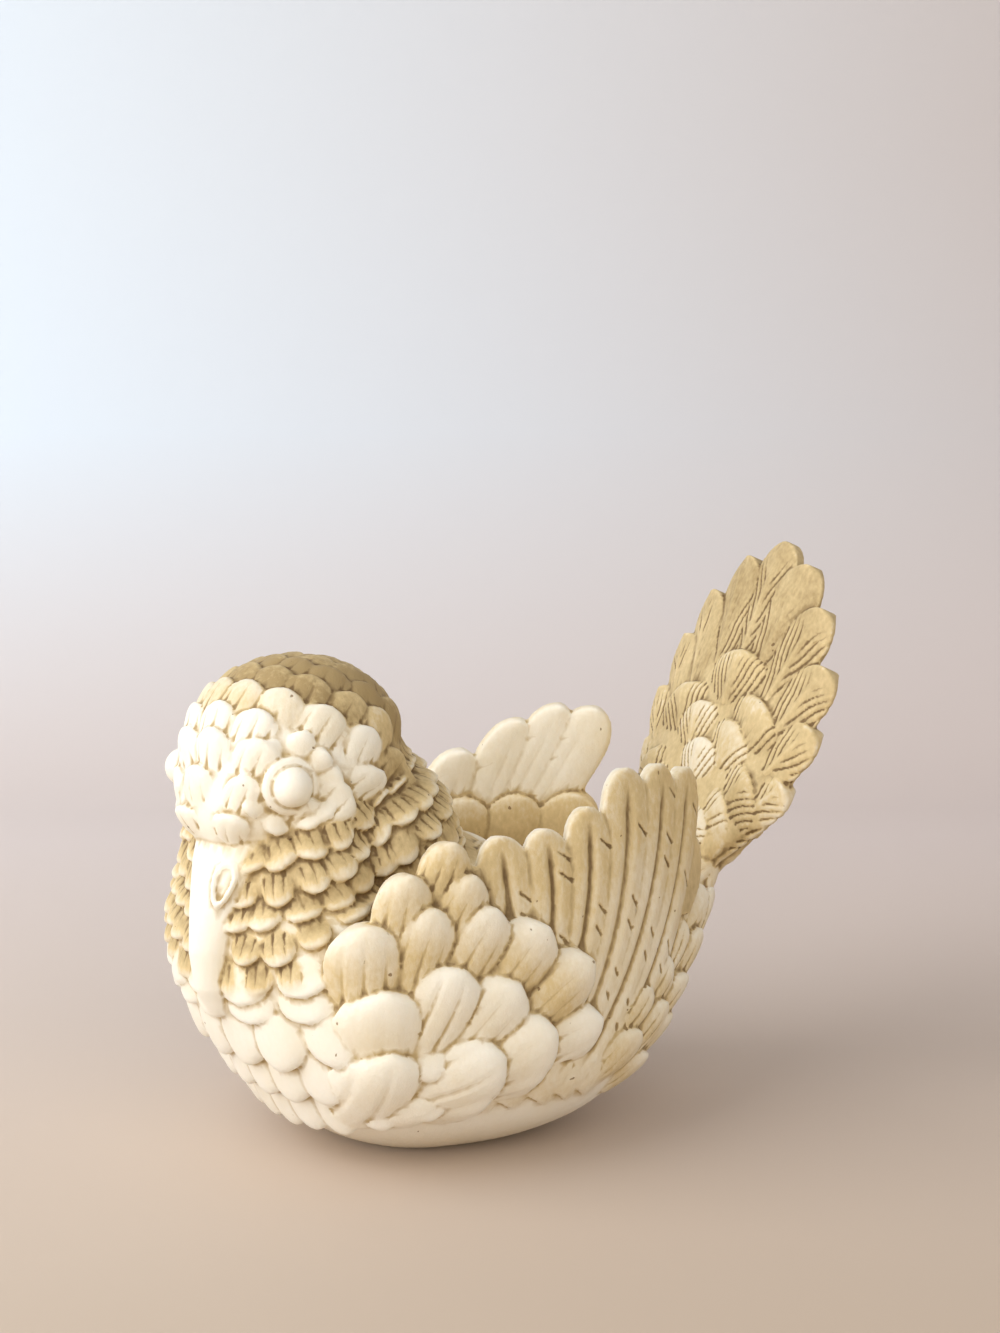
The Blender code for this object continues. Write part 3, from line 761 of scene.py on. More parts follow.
@dataclass
class Wing:
    """One raised wing: long feathers above rows of coverts that fan out from its wrist."""

    side: int
    tips: tuple[Spot, ...]
    sweep: float
    hull: Hull
    wrist: Spot = (-29.0, 17.0)
    lean: float = 0.085
    thickness: float = 4.6
    strip_width: float = 9.6
    strip_reach: float = 0.90
    strip_taper: float = 0.20
    strip_depth: float = 0.3
    inset: float = 0.8
    root_share: float = 0.58
    root_drop: float = 2.0
    bend_out: float = 5.0
    bend_pull: float = 0.18
    bend_height: float = 0.58
    long_plume: Plume = Plume(
        12.0, 60.0, 0.35, 1.5, 1.0, Carving.RIBBED, 0.6, 1.1, 0.75, 0.84, both_faces=True, fine=(26, 13)
    )
    coverts: tuple[tuple[Spot, Spot, Spot, int, Plume], ...] = (
        (
            (15.0, 48.5),
            (15.5, 48.5),
            (16.0, 48.5),
            1,
            Plume(9.5, 13.0, 0.5, 3.3, 1.8, wash=1.3, tip_wash=0.9),
        ),
        (
            (6.5, 43.5),
            (12.0, 44.5),
            (18.0, 42.5),
            2,
            Plume(11.5, 15.0, 0.5, 3.7, 2.0, wash=1.1, tip_wash=0.6),
        ),
        (
            (-2.0, 35.0),
            (24.0, 43.0),
            (42.0, 23.5),
            5,
            Plume(13.5, 17.0, 0.5, 3.9, 2.2, wash=1.0, tip_wash=0.4, blunt=0.55),
        ),
        (
            (2.5, 23.0),
            (25.0, 31.0),
            (33.5, 12.0),
            4,
            Plume(16.0, 17.0, 0.5, 4.1, 2.3, wash=0.45, tip_wash=0.15, blunt=0.58),
        ),
        (
            (3.0, 12.0),
            (14.0, 13.5),
            (22.5, 9.5),
            2,
            Plume(16.0, 17.0, 0.5, 4.1, 2.3, wash=0.3, tip_wash=0.1, blunt=0.58, lines=3),
        ),
        (
            (12.0, 0.5),
            (26.0, 1.5),
            (44.0, 13.0),
            4,
            Plume(11.5, 17.0, -0.4, 3.0, 1.6, wash=0.4, tip_wash=0.2, blunt=0.58, lines=3),
        ),
    )
    lining: Plume = Plume(13.0, 14.0, 1.7, 3.4, 0.9, Carving.SMOOTH, 1.5, 1.0)
    linings: int = 5
    first_lining: float = 2.0
    lining_step: float = 10.5
    lining_heights: Place = (44.0, 50.0, 56.5)

    def sheet(self, y: float, z: float) -> Vector:
        """The middle surface of the wing.

        Low down it is the hull's own flank. Above the hull's widest line it stands up and
        leans in.

        Args:
            y: place along the body.
            z: place above the floor.

        Returns:
            The point on the surface.
        """
        half, low, high = self.hull.at(y)
        middle = (low + high) / 2
        if z < middle:
            share = min((middle - z) / (middle - low), 0.98)
            x = half * math.sqrt(1 - share * share)
        else:
            x = half * (1 - self.lean * ((z - middle) / 40.0) ** 2)
        return place(self.side * (x - self.inset), y, z)

    def line(self, tip: Spot, reach: float = 1.0) -> list[Vector]:
        """Middle line of a long feather, up from the flank and curving to its tip.

        Args:
            tip: the feather's tip.
            reach: share of the feather to run.

        Returns:
            Places on the wing's sheet.
        """
        root = (self.wrist[0] + self.root_share * (tip[0] - self.wrist[0]), self.wrist[1] - self.root_drop)
        bend = (tip[0] + self.bend_out - self.bend_pull * tip[0] - self.sweep, self.bend_height * tip[1])
        end = tuple(r + (t - r) * reach for r, t in zip(root, tip))
        return curve_through(root, bend, end)

    def block_out(self, clay: Clay) -> None:
        """Adds the inner thickness that ties the long feathers together."""
        for tip in self.tips:
            at = on_sheet(self.sheet, self.line(tip, self.strip_reach), self.side)
            depth = self.thickness / 2 * UNIT * self.strip_depth
            rings = []
            for share in np.linspace(0, 1, 8):
                rounded = math.sqrt(1.01 - share**5)
                width = self.strip_width * (1 - self.strip_taper * share) * rounded * UNIT
                rings.append([at(share, width * t, depth * h) for t, h in CORNERS])
            clay.loft(rings)

    def behind(self, point: Vector) -> bool:
        """True for a place behind the wing's last long feather."""
        line = self.line(self.tips[-1])
        edge = np.interp(point.z, [p.y for p in line], [p.x for p in line])
        return point.y > edge - 2.0

    def feather(self, clay: Clay, chance: random.Random) -> None:
        """Lays the long feathers, the coverts and the lining.

        Args:
            clay: clay to add to.
            chance: source of small differences.
        """
        for tip in self.tips:
            clay.feather(on_sheet(self.sheet, self.line(tip), self.side), self.long_plume, chance)
        for first, bend, last, count, plume in self.coverts:
            for step in curve_through(first, bend, last, count):
                length = plume.length * chance.uniform(0.95, 1.05)
                heading = Vector((step.x, step.y + 3.0)).normalized()
                tip = step + Vector(self.wrist)
                line = [tip - heading * length * back for back in np.linspace(1, 0, 7)]
                clay.feather(on_sheet(self.sheet, line, self.side), plume, chance)
        low, middle, high = self.lining_heights
        for i in range(self.linings):
            y = self.first_lining + self.lining_step * i
            line = [Vector(p) for p in ((y - 5.0, low), (y - 2.5, middle), (y, high + 0.6 * i))]
            clay.feather(on_sheet(self.sheet, line, -self.side), self.lining, chance)


@dataclass
class Tail:
    """The fanned tail: long feathers and rows of coverts on both faces."""

    root: Place = (0.0, 54.5, 46.0)
    lean: float = math.radians(22.5)
    spread: float = math.radians(50.0)
    count: int = 11
    sweep: float = 0.0018
    thickness: float = 5.0
    reach_middle: float = 73.1
    side_shortening: float = 0.50
    fan_start: float = 8.0
    root_tuck: float = 6.0
    strip_reach: float = 0.84
    edge_tilt: float = 0.3
    covert_rows: tuple[tuple[float, int], ...] = ((0.38, 3), (0.52, 4), (0.66, 5))
    covert_length: float = 15.0
    covert_spread: float = 0.86
    covert_step: float = 0.12

    def sheet(self, u: float, v: float) -> Vector:
        """The middle surface of the tail.

        Args:
            u: place across the tail.
            v: place along it.

        Returns:
            The point on the surface.
        """
        forward = Vector((0.0, -math.cos(self.lean), math.sin(self.lean)))
        along = Vector((0.0, math.sin(self.lean), math.cos(self.lean)))
        bow = -self.sweep * u * u
        return place(*self.root) + (Vector((u, 0, 0)) + along * v + forward * bow) * UNIT

    def reach(self, angle: float) -> float:
        """Length of the feather at an angle from the middle one, as a place."""
        return self.reach_middle * (1 - self.side_shortening * abs(angle / self.spread) ** 1.5)

    def line(self, angle: float, reach: float) -> list[Vector]:
        """Middle line of a feather, from the fan's root out to its tip."""
        line = []
        for t in np.linspace(0, 1, 9):
            out = self.fan_start + (reach - self.fan_start) * t
            line.append(Vector((math.sin(angle) * out, math.cos(angle) * out - self.root_tuck * (1 - t))))
        return line

    def block_out(self, clay: Clay) -> None:
        """Adds the inner thickness that ties the feathers together, with the tail's root."""
        for angle in np.linspace(-self.spread, self.spread, self.count * 2 - 1):
            reach = self.strip_reach * self.reach(angle)
            at = on_sheet(self.sheet, self.line(angle, reach), 1)
            rings = []
            for share in np.linspace(0, 1, 8):
                width = (2.2 + 0.09 * reach * share) * UNIT
                thick = self.thickness / 2 * (1.9 - 1.3 * share) * UNIT
                rings.append([at(share, width * t, thick * h) for t, h in CORNERS])
            clay.loft(rings)

    def feather(self, clay: Clay, chance: random.Random) -> None:
        """Lays the long feathers and the coverts.

        Args:
            clay: clay to add to.
            chance: source of small differences.
        """
        half = self.thickness / 2
        for angle in np.linspace(-self.spread, self.spread, self.count):
            reach = self.reach(angle)
            wash = 1.9 - 0.8 * (angle / self.spread) ** 2
            plume = Plume(
                4.0 + 0.145 * reach,
                reach,
                0.3 * half,
                0.65 * half,
                0.45 * half,
                Carving.BARBED,
                wash,
                wash - 0.1,
                waist=0.5,
                blunt=0.86,
                tilt=self.edge_tilt * half * np.sign(angle) * (abs(angle) > 0.01),
                both_faces=True,
                fine=(26, 13),
            )
            clay.feather(on_sheet(self.sheet, self.line(angle, reach), 1), plume, chance)
        for facing in (1, -1):
            for row, (share, count) in enumerate(self.covert_rows):
                for i in range(count):
                    angle = self.spread * self.covert_spread * (2 * i / (count - 1) - 1)
                    angle += 0.04 * (row % 2) + chance.uniform(-0.03, 0.03)
                    reach = self.reach(angle) * share
                    heading = Vector((math.sin(angle), math.cos(angle)))
                    outs = np.linspace(reach - self.covert_length, reach, 6).tolist()
                    line = [heading * out for out in outs]
                    lift = half * (1.0 - self.covert_step * row)
                    plume = Plume(
                        12.0 + 0.18 * reach,
                        self.covert_length,
                        lift - 0.8,
                        lift + 1.6,
                        1.3,
                        Carving.BARBED,
                        0.8 + 0.4 * row,
                        0.5 + 0.35 * row,
                        blunt=0.55,
                    )
                    clay.feather(on_sheet(self.sheet, line, facing), plume, chance)


@dataclass
class Strokes:
    """The carver's strokes: how deep and how close the grooves of each kind of feather are."""

    stroke_depth: float = 0.00034
    rib_depth: float = 0.00095
    notch_depth: float = 0.00045
    notch_gap: float = 0.0042
    notch_slant: float = 0.8
    barb_depth: float = 0.00034
    barb_gap: float = 0.0040
    barb_slant: float = 2.4
    shaft_height: float = 0.00025

    def depth(self, marks: Marks) -> np.ndarray:
        """How far each point is cut in, in metres.

        Args:
            marks: where each point lies on its feather.

        Returns:
            One depth for each point.
        """
        cut = np.zeros(len(marks.share))
        share, across = marks.share, marks.across
        off = np.abs(across)
        inside = ramp(share, 0.06, 0.12) * ramp(share, 0.97, -0.10)
        run = share * marks.length
        reach = off * marks.width / 2

        mask = marks.carving == Carving.STROKES.value
        fade = np.clip(1.15 - 0.95 * share, 0, 1)
        phase = across + 0.22 * (marks.seed - 0.5) + 0.10 * np.sin(7 * marks.seed + 3 * share)
        comb = np.clip(np.cos(math.pi * marks.lines * phase) * 1.7 - 0.7, 0, 1)
        comb *= ramp(off, 0.92, -0.1)
        cut += mask * inside * fade * comb * self.stroke_depth * (0.3 + 0.9 * marks.seed)

        mask = marks.carving == Carving.RIBBED.value
        middle = np.exp(-(((across + 0.06 * np.sin(4 * share + 9 * marks.seed)) / 0.17) ** 2))
        beat = (run + self.notch_slant * reach + 0.004 * marks.seed) / self.notch_gap
        notch = np.clip(np.cos(math.tau * beat) * 4 - 3, 0, 1)
        notch *= ramp(off, 0.25, 0.1) * ramp(off, 0.95, -0.1)
        chosen = np.sin(17.0 * np.floor(beat + 0.5) + 23.0 * marks.seed) > -0.1
        notch *= chosen * (across * marks.turn > 0)
        cut += mask * marks.outer * inside * (middle * self.rib_depth + notch * self.notch_depth)

        mask = marks.carving == Carving.BARBED.value
        shaft = np.exp(-((across / 0.10) ** 2))
        waver = 0.0009 * np.sin(500 * run + 8 * marks.seed)
        beat = (run - self.barb_slant * reach + waver) / self.barb_gap
        barb = np.clip(np.cos(math.tau * beat) * 1.4 - 0.3, 0, 1)
        barb *= ramp(off, 0.10, 0.12)
        chosen = np.sin(13.0 * np.floor(beat + 0.5) + 31.0 * marks.seed) > -0.1
        barb *= 0.2 + 0.8 * chosen
        cut += mask * inside * (barb * self.barb_depth - shaft * self.shaft_height)
        return cut


@dataclass
class Marks:
    """Where each point of a surface lies on its feather, as arrays."""

    share: np.ndarray
    across: np.ndarray
    width: np.ndarray
    length: np.ndarray
    seed: np.ndarray
    lines: np.ndarray
    turn: np.ndarray
    outer: np.ndarray
    carving: np.ndarray
    wash: np.ndarray

    @classmethod
    def read(cls, clay: Clay, points: np.ndarray, normals: np.ndarray, bare_wash: np.ndarray) -> Marks:
        """Reads the marks of the clay nearest each point.

        Args:
            clay: the clay that the surface was fused from.
            points: the surface's points.
            normals: the surface's normals at them.
            bare_wash: wash of each point where there is no feather.

        Returns:
            The marks of all the points.
        """
        tree = clay.tree()
        count = len(points)
        share, across = np.zeros(count), np.zeros(count)
        owner = np.full(count, -1)
        for i, point in enumerate(points):
            near, _, face, _ = tree.find_nearest(point)
            corners = clay.faces[face]
            owner[i] = clay.owner[corners[0]]
            if owner[i] < 0 or len(corners) > 4:
                continue
            weights = poly_3d_calc([clay.points[c] for c in corners], near)
            share[i] = sum(w * clay.share[c] for w, c in zip(weights, corners))
            across[i] = sum(w * clay.across[c] for w, c in zip(weights, corners))
        bare = owner < 0
        pick = np.where(bare, 0, owner)

        def of_each(value: Callable[[Laid], float]) -> np.ndarray:
            """A value of the feather that each point lies on."""
            return np.array([value(feather) for feather in clay.laid])[pick]

        carving = of_each(lambda f: f.plume.carving.value)
        root_wash = of_each(lambda f: f.plume.wash)
        tip_wash = of_each(lambda f: f.plume.tip_wash)
        fade = ramp(share, 0.45, 0.4)
        wash = (root_wash * (1 - fade) + tip_wash * fade) * of_each(lambda f: f.stain)
        side = np.sign(points[:, 0])
        outer = np.clip(0.6 + 1.5 * normals[:, 0] * side, 0.2, 1)
        wash *= np.where(carving == Carving.RIBBED.value, 0.15 + 0.85 * outer, 1.0)
        return cls(
            share,
            across,
            of_each(lambda f: f.width),
            of_each(lambda f: f.length),
            of_each(lambda f: f.seed),
            of_each(lambda f: f.plume.lines),
            -side,
            outer,
            np.where(bare, Carving.SMOOTH.value, carving),
            np.where(bare, bare_wash, wash),
        )


@dataclass
class Dove:
    """The whole statue: blocks it out, lays its feathers, carves them and dresses the stone."""

    hull: Hull = field(default_factory=Hull)
    head: Head = field(default_factory=Head)
    bill: Bill = field(default_factory=Bill)
    tail: Tail = field(default_factory=Tail)
    strokes: Strokes = field(default_factory=Strokes)
    neck_masses: Masses = (
        ((0.0, -17.0, 61.0), (25.0, 16.5, 17.0)),
        ((1.0, -33.0, 56.0), (26.0, 18.5, 19.0)),
        ((0.0, -8.0, 48.0), (29.0, 20.0, 14.0)),
    )
    neck: RingedRows = field(
        default_factory=lambda: RingedRows(
            (2.0, -31.0, 72.7),
            (0.0, -24.0, 56.6),
            5,
            Plume(6.4, 6.4, -0.5, 1.7, 0.5, wash=1.8, tip_wash=0.6, waist=0.85, blunt=0.6, lines=3),
            spacing=0.80,
        )
    )
    collar: RingedRows = field(
        default_factory=lambda: RingedRows(
            (0.0, -23.0, 50.5),
            (0.0, -22.0, 47.0),
            2,
            Plume(11.5, 8.0, -0.5, 1.7, 0.6, Carving.SMOOTH, 0.3, 0.05, blunt=0.6),
        )
    )
    breast: RingedRows = field(
        default_factory=lambda: RingedRows(
            (0.0, -20.0, 42.0),
            (0.0, -12.0, 18.0),
            4,
            Plume(12.5, 11.0, -0.5, 2.4, 1.4, Carving.SMOOTH, 0.15, 0.05),
            shrink=0.2,
        )
    )
    rear: RingedRows = field(
        default_factory=lambda: RingedRows(
            (0.0, 8.0, 12.0),
            (0.0, 52.0, 54.0),
            8,
            # Painted shade: the rear's wash of 0.9 is partly the stone's slight ochre and mostly painted
            # shade on the flank and rump, which face away from the light.
            Plume(10.5, 12.5, -0.5, 1.8, 1.0, Carving.STROKES, 0.9, 0.5),
            shrink=0.25,
        )
    )
    left_tips: tuple[Spot, ...] = (
        (-13.5, 61.5), (-4.8, 65.5), (5.0, 66.0), (14.5, 69.0), (25.5, 75.0), (34.5, 74.5), (42.5, 72.5),
    )
    right_tips: tuple[Spot, ...] = (
        (-9.0, 57.0), (1.0, 59.5), (11.0, 62.5), (21.5, 68.0), (32.0, 75.0), (40.5, 78.0), (47.0, 77.5),
    )
    right_sweep: float = 10.0
    core_voxel: float = 0.0012
    core_soften: int = 8
    skin_voxel: float = 0.0004
    quick_voxel: float = 0.0008
    fine_reach: float = 0.0009
    broad_reach: float = 0.0026
    wash_reach: float = 0.0014
    rim_height: float = 4.2
    first_root: float = 4.0
    first_breast_root: float = 11.0
    breast_end: float = -20.0
    back_height: float = 40.0
    back_start: float = -8.0
    back_share: float = 0.80
    seed: int = 7

    def __post_init__(self) -> None:
        """Makes both wings on the hull."""
        self.wings = {
            1: Wing(1, self.left_tips, 0.0, self.hull),
            -1: Wing(-1, self.right_tips, self.right_sweep, self.hull),
        }

    def above_rim(self, point: Vector) -> bool:
        """True for a place that is high enough for a feather's root."""
        return point.z > self.rim_height + self.first_root

    def on_breast(self, point: Vector) -> bool:
        """True for a place in front of the wings, well above the plain band at the base."""
        return point.z > self.rim_height + self.first_breast_root and point.y < self.breast_end

    def on_rear(self, point: Vector) -> bool:
        """True for a place behind and below the wings, and between them on the back."""
        half = self.hull.at(point.y)[0]
        on_back = point.z > self.back_height and point.y > self.back_start
        on_back = on_back and abs(point.x) < self.back_share * half
        behind = self.wings[1 if point.x > 0 else -1].behind(point)
        return self.above_rim(point) and (on_back or behind)

    def blocked_out(self, with_limbs: bool) -> Clay:
        """The core's masses.

        Args:
            with_limbs: whether the wings' and tail's thickness is in it.

        Returns:
            New clay.
        """
        clay = Clay()
        self.hull.block_out(clay)
        self.head.block_out(clay)
        for centre, radii in self.neck_masses:
            clay.ellipsoid(Matrix.Identity(4), centre, radii)
        if with_limbs:
            for wing in self.wings.values():
                wing.block_out(clay)
            self.tail.block_out(clay)
        return clay

    def feathered(self) -> Clay:
        """The core with every feather, the bill and the eyes laid on it."""
        chance = random.Random(self.seed)
        body = self.blocked_out(with_limbs=False).fused("body", self.core_voxel, self.core_soften)
        tree = Clay.of_mesh(body).tree()
        core = self.blocked_out(with_limbs=True).fused("core", self.core_voxel, self.core_soften)
        clay = Clay.of_mesh(core)
        self.head.lay_scales(clay, tree, chance, self.neck.past_start)
        self.neck.lay(clay, tree, chance, self.above_rim)
        self.collar.lay(clay, tree, chance, self.above_rim)
        self.breast.lay(clay, tree, chance, self.on_breast)
        self.rear.lay(clay, tree, chance, self.on_rear)
        for wing in self.wings.values():
            wing.feather(clay, chance)
        self.tail.feather(clay, chance)
        self.bill.lay(clay)
        self.head.set_eyes(clay, tree, chance)
        return clay

    @staticmethod
    def bare_wash(points: np.ndarray) -> np.ndarray:
        """Wash where the stone bears no feather: little in front, much on crown, neck and back.

        Args:
            points: the surface's points.

        Returns:
            One wash for each point.
        """
        y, z = points[:, 1] / UNIT, points[:, 2] / UNIT
        rump = 0.7 * ramp(y, -6, 60) * ramp(z, 0, 60)
        back = ramp(z, 44, 6) * ramp(y, -12, 8)
        nape = ramp(z, 62, 6) * ramp(y, -26, 8)
        crown = ramp(z, 87, 5)
        neck = ramp(np.abs(z - 62), 12, -12) * (y < -5) * ramp(y, -49.6, 8)
        base = ramp(z, 10, -10)
        high = np.maximum.reduce([rump, back, nape, crown])
        return 0.1 + 1.2 * high + 1.1 * neck + 0.5 * base

    @staticmethod
    def steps(reach: float, voxel: float) -> int:
        """How often values are averaged with their neighbours' to spread over a distance."""
        return max(round((reach / voxel) ** 2), 1)

    def carved(self) -> bpy.types.Object:
        """The statue's surface with its strokes cut in and the stone's marks on its points."""
        clay = self.feathered()
        voxel = self.skin_voxel
        skin = clay.fused("dove_stone", voxel, 1)
        points = mesh_points(skin)
        edges = mesh_edges(skin)
        marks = Marks.read(clay, points, mesh_normals(skin), self.bare_wash(points))
        cut = relaxed(self.strokes.depth(marks), edges, 1)
        points -= mesh_normals(skin) * cut[:, None]
        points[:, 2] = np.maximum(points[:, 2], -2 * voxel)
        skin.vertices.foreach_set("co", points.astype(np.float32).ravel())
        skin.update()
        normals = mesh_normals(skin)
        for name, reach in (("crease", self.fine_reach), ("hollow", self.broad_reach)):
            mean = relaxed(points, edges, self.steps(reach, voxel))
            write_values(skin, name, ((mean - points) * normals).sum(axis=1) / UNIT)
        write_values(skin, "wash", relaxed(marks.wash, edges, self.steps(self.wash_reach, voxel)))
        obj = linked("dove_stone", skin)
        thin = obj.modifiers.new("thin out", "DECIMATE")
        triangles = sum(len(p.vertices) - 2 for p in skin.polygons)
        thin.ratio = min(TRIANGLE_BUDGET / triangles, 1.0)
        obj.data = evaluated(obj)
        obj.modifiers.clear()
        cut_flat(obj.data)
        obj.data.name = "dove_stone"
        obj.data.shade_smooth()
        return obj


def write_values(mesh: bpy.types.Mesh, name: str, values: np.ndarray) -> None:
    """Writes one number for each point of a mesh as a named attribute."""
    attribute = mesh.attributes.new(name, "FLOAT", "POINT")
    attribute.data.foreach_set("value", values.astype(np.float32))


def cut_flat(mesh: bpy.types.Mesh) -> None:
    """Cuts a mesh off at the floor and closes the cut."""
    bm = bmesh.new()
    bm.from_mesh(mesh)
    geometry = bm.verts[:] + bm.edges[:] + bm.faces[:]
    cut = bmesh.ops.bisect_plane(
        bm, geom=geometry, plane_co=(0, 0, 0), plane_no=(0, 0, -1), clear_outer=True, dist=1e-6
    )
    rim = [edge for edge in cut["geom_cut"] if isinstance(edge, bmesh.types.BMEdge)]
    bmesh.ops.holes_fill(bm, edges=rim, sides=0)
    bmesh.ops.triangulate(bm, faces=[f for f in bm.faces if len(f.verts) > 3])
    bmesh.ops.recalc_face_normals(bm, faces=bm.faces)
    bm.to_mesh(mesh)
    bm.free()


class Signal:
    """A number that varies over a surface: wraps a shader socket and does arithmetic on it."""

    def __init__(self, tree: bpy.types.NodeTree, socket: bpy.types.NodeSocket) -> None:
        """Wraps a socket of a node tree."""
        self.tree = tree
        self.socket = socket

    def math(
        self, operation: str, first: Signal | float, second: Signal | float = 0.0, clamp: bool = False
    ) -> Signal:
        """Adds a Math node.

        Args:
            operation: the node's operation.
            first: its first value.
            second: its second value.
            clamp: whether its result is kept between 0 and 1.

        Returns:
            The node's result.
        """
        node = self.tree.nodes.new("ShaderNodeMath")
        node.operation = operation
        node.use_clamp = clamp
        for socket, value in zip(node.inputs, (first, second)):
            if isinstance(value, Signal):
                self.tree.links.new(value.socket, socket)
            else:
                socket.default_value = value
        return Signal(self.tree, node.outputs[0])

    def __add__(self, other: Signal | float) -> Signal:
        """The sum."""
        return self.math("ADD", self, other)

    def __radd__(self, other: float) -> Signal:
        """The sum, reflected."""
        return self.math("ADD", other, self)

    def __sub__(self, other: Signal | float) -> Signal:
        """The difference."""
        return self.math("SUBTRACT", self, other)

    def __rsub__(self, other: float) -> Signal:
        """The difference, reflected."""
        return self.math("SUBTRACT", other, self)

    def __mul__(self, other: Signal | float) -> Signal:
        """The product."""
        return self.math("MULTIPLY", self, other)

    def __rmul__(self, other: float) -> Signal:
        """The product, reflected."""
        return self.math("MULTIPLY", other, self)

    def clamped(self) -> Signal:
        """The number kept between 0 and 1."""
        return self.math("ADD", self, 0.0, clamp=True)

    def stepped(self, low: float, high: float) -> Signal:
        """0 below low, 1 above high, and a straight ramp between."""
        return ((self - low) * (1.0 / (high - low))).clamped()


class NodeBench:
    """Adds nodes to a material or world."""

    def __init__(self, tree: bpy.types.NodeTree) -> None:
        """Starts from an empty tree."""
        self.tree = tree
        tree.nodes.clear()

    def feed(self, socket: bpy.types.NodeSocket, value: object) -> None:
        """Links a socket to a signal or another socket, or sets its value."""
        if isinstance(value, Signal):
            value = value.socket
        if isinstance(value, bpy.types.NodeSocket):
            self.tree.links.new(value, socket)
        else:
            socket.default_value = value

    def node(
        self, kind: str, settings: dict[str, object] | None = None, **values: object
    ) -> bpy.types.Node:
        """Adds a node.

        Args:
            kind: the node's type.
            settings: its own settings, set first. A ramp's `stops` are (position, colour) pairs.
            **values: values or links of its sockets by name, with _ for a space.

        Returns:
            The node.
        """
        node = self.tree.nodes.new(kind)
        for name, value in (settings or {}).items():
            if name == "stops":
                ramp = node.color_ramp
                while len(ramp.elements) < len(value):
                    ramp.elements.new(0.5)
                for element, (position, colour) in zip(ramp.elements, value):
                    element.position = position
                    element.color = colour
            else:
                setattr(node, name, value)
        for name, value in values.items():
            self.feed(node.inputs[name.replace("_", " ")], value)
        return node

    def signal(self, socket: bpy.types.NodeSocket) -> Signal:
        """Wraps a socket for arithmetic."""
        return Signal(self.tree, socket)

    def attribute(self, name: str) -> Signal:
        """A number that the mesh holds at its points."""
        node = self.node("ShaderNodeAttribute", {"attribute_name": name})
        return self.signal(node.outputs["Fac"])

    def noise(
        self, scale: float, detail: float = 3.0, roughness: float = 0.55, stretch: Place = (1, 1, 1)
    ) -> Signal:
        """Noise in the statue's own coordinates.

        Args:
            scale: how many times it repeats in a metre, roughly.
            detail: how many finer layers it has.
            roughness: how strong the finer layers are.
            stretch: factors on its coordinates.

        Returns:
            A number around 0.5.
        """
        where = self.node("ShaderNodeTexCoord").outputs["Object"]
        mapped = self.node("ShaderNodeMapping", Vector=where, Scale=stretch)
        made = self.node(
            "ShaderNodeTexNoise", Vector=mapped.outputs[0], Scale=scale, Detail=detail, Roughness=roughness
        )
        return self.signal(made.outputs["Fac"])

    def along(self, where: bpy.types.NodeSocket, direction: Vector) -> Signal:
        """How far a position lies along a direction."""
        node = self.node("ShaderNodeVectorMath", {"operation": "DOT_PRODUCT"})
        self.feed(node.inputs[0], where)
        self.feed(node.inputs[1], direction)
        return self.signal(node.outputs["Value"])

    def blended(
        self, amount: Signal, first: object, second: object, mode: str = "MIX"
    ) -> bpy.types.NodeSocket:
        """Mixes two colours.

        Args:
            amount: 0 for the first colour, 1 for the second.
            first: a colour or a link.
            second: a colour or a link.
            mode: how they are blended.

        Returns:
            The mixed colour.
        """
        node = self.node("ShaderNodeMix", {"data_type": "RGBA", "blend_type": mode})
        for i, value in ((0, amount), (6, first), (7, second)):
            self.feed(node.inputs[i], value)
        return node.outputs[2]


def new_material(name: str) -> tuple[bpy.types.Material, NodeBench]:
    """A new node material, and a bench on its empty tree."""
    material = bpy.data.materials.new(name)
    material.use_nodes = True
    return material, NodeBench(material.node_tree)


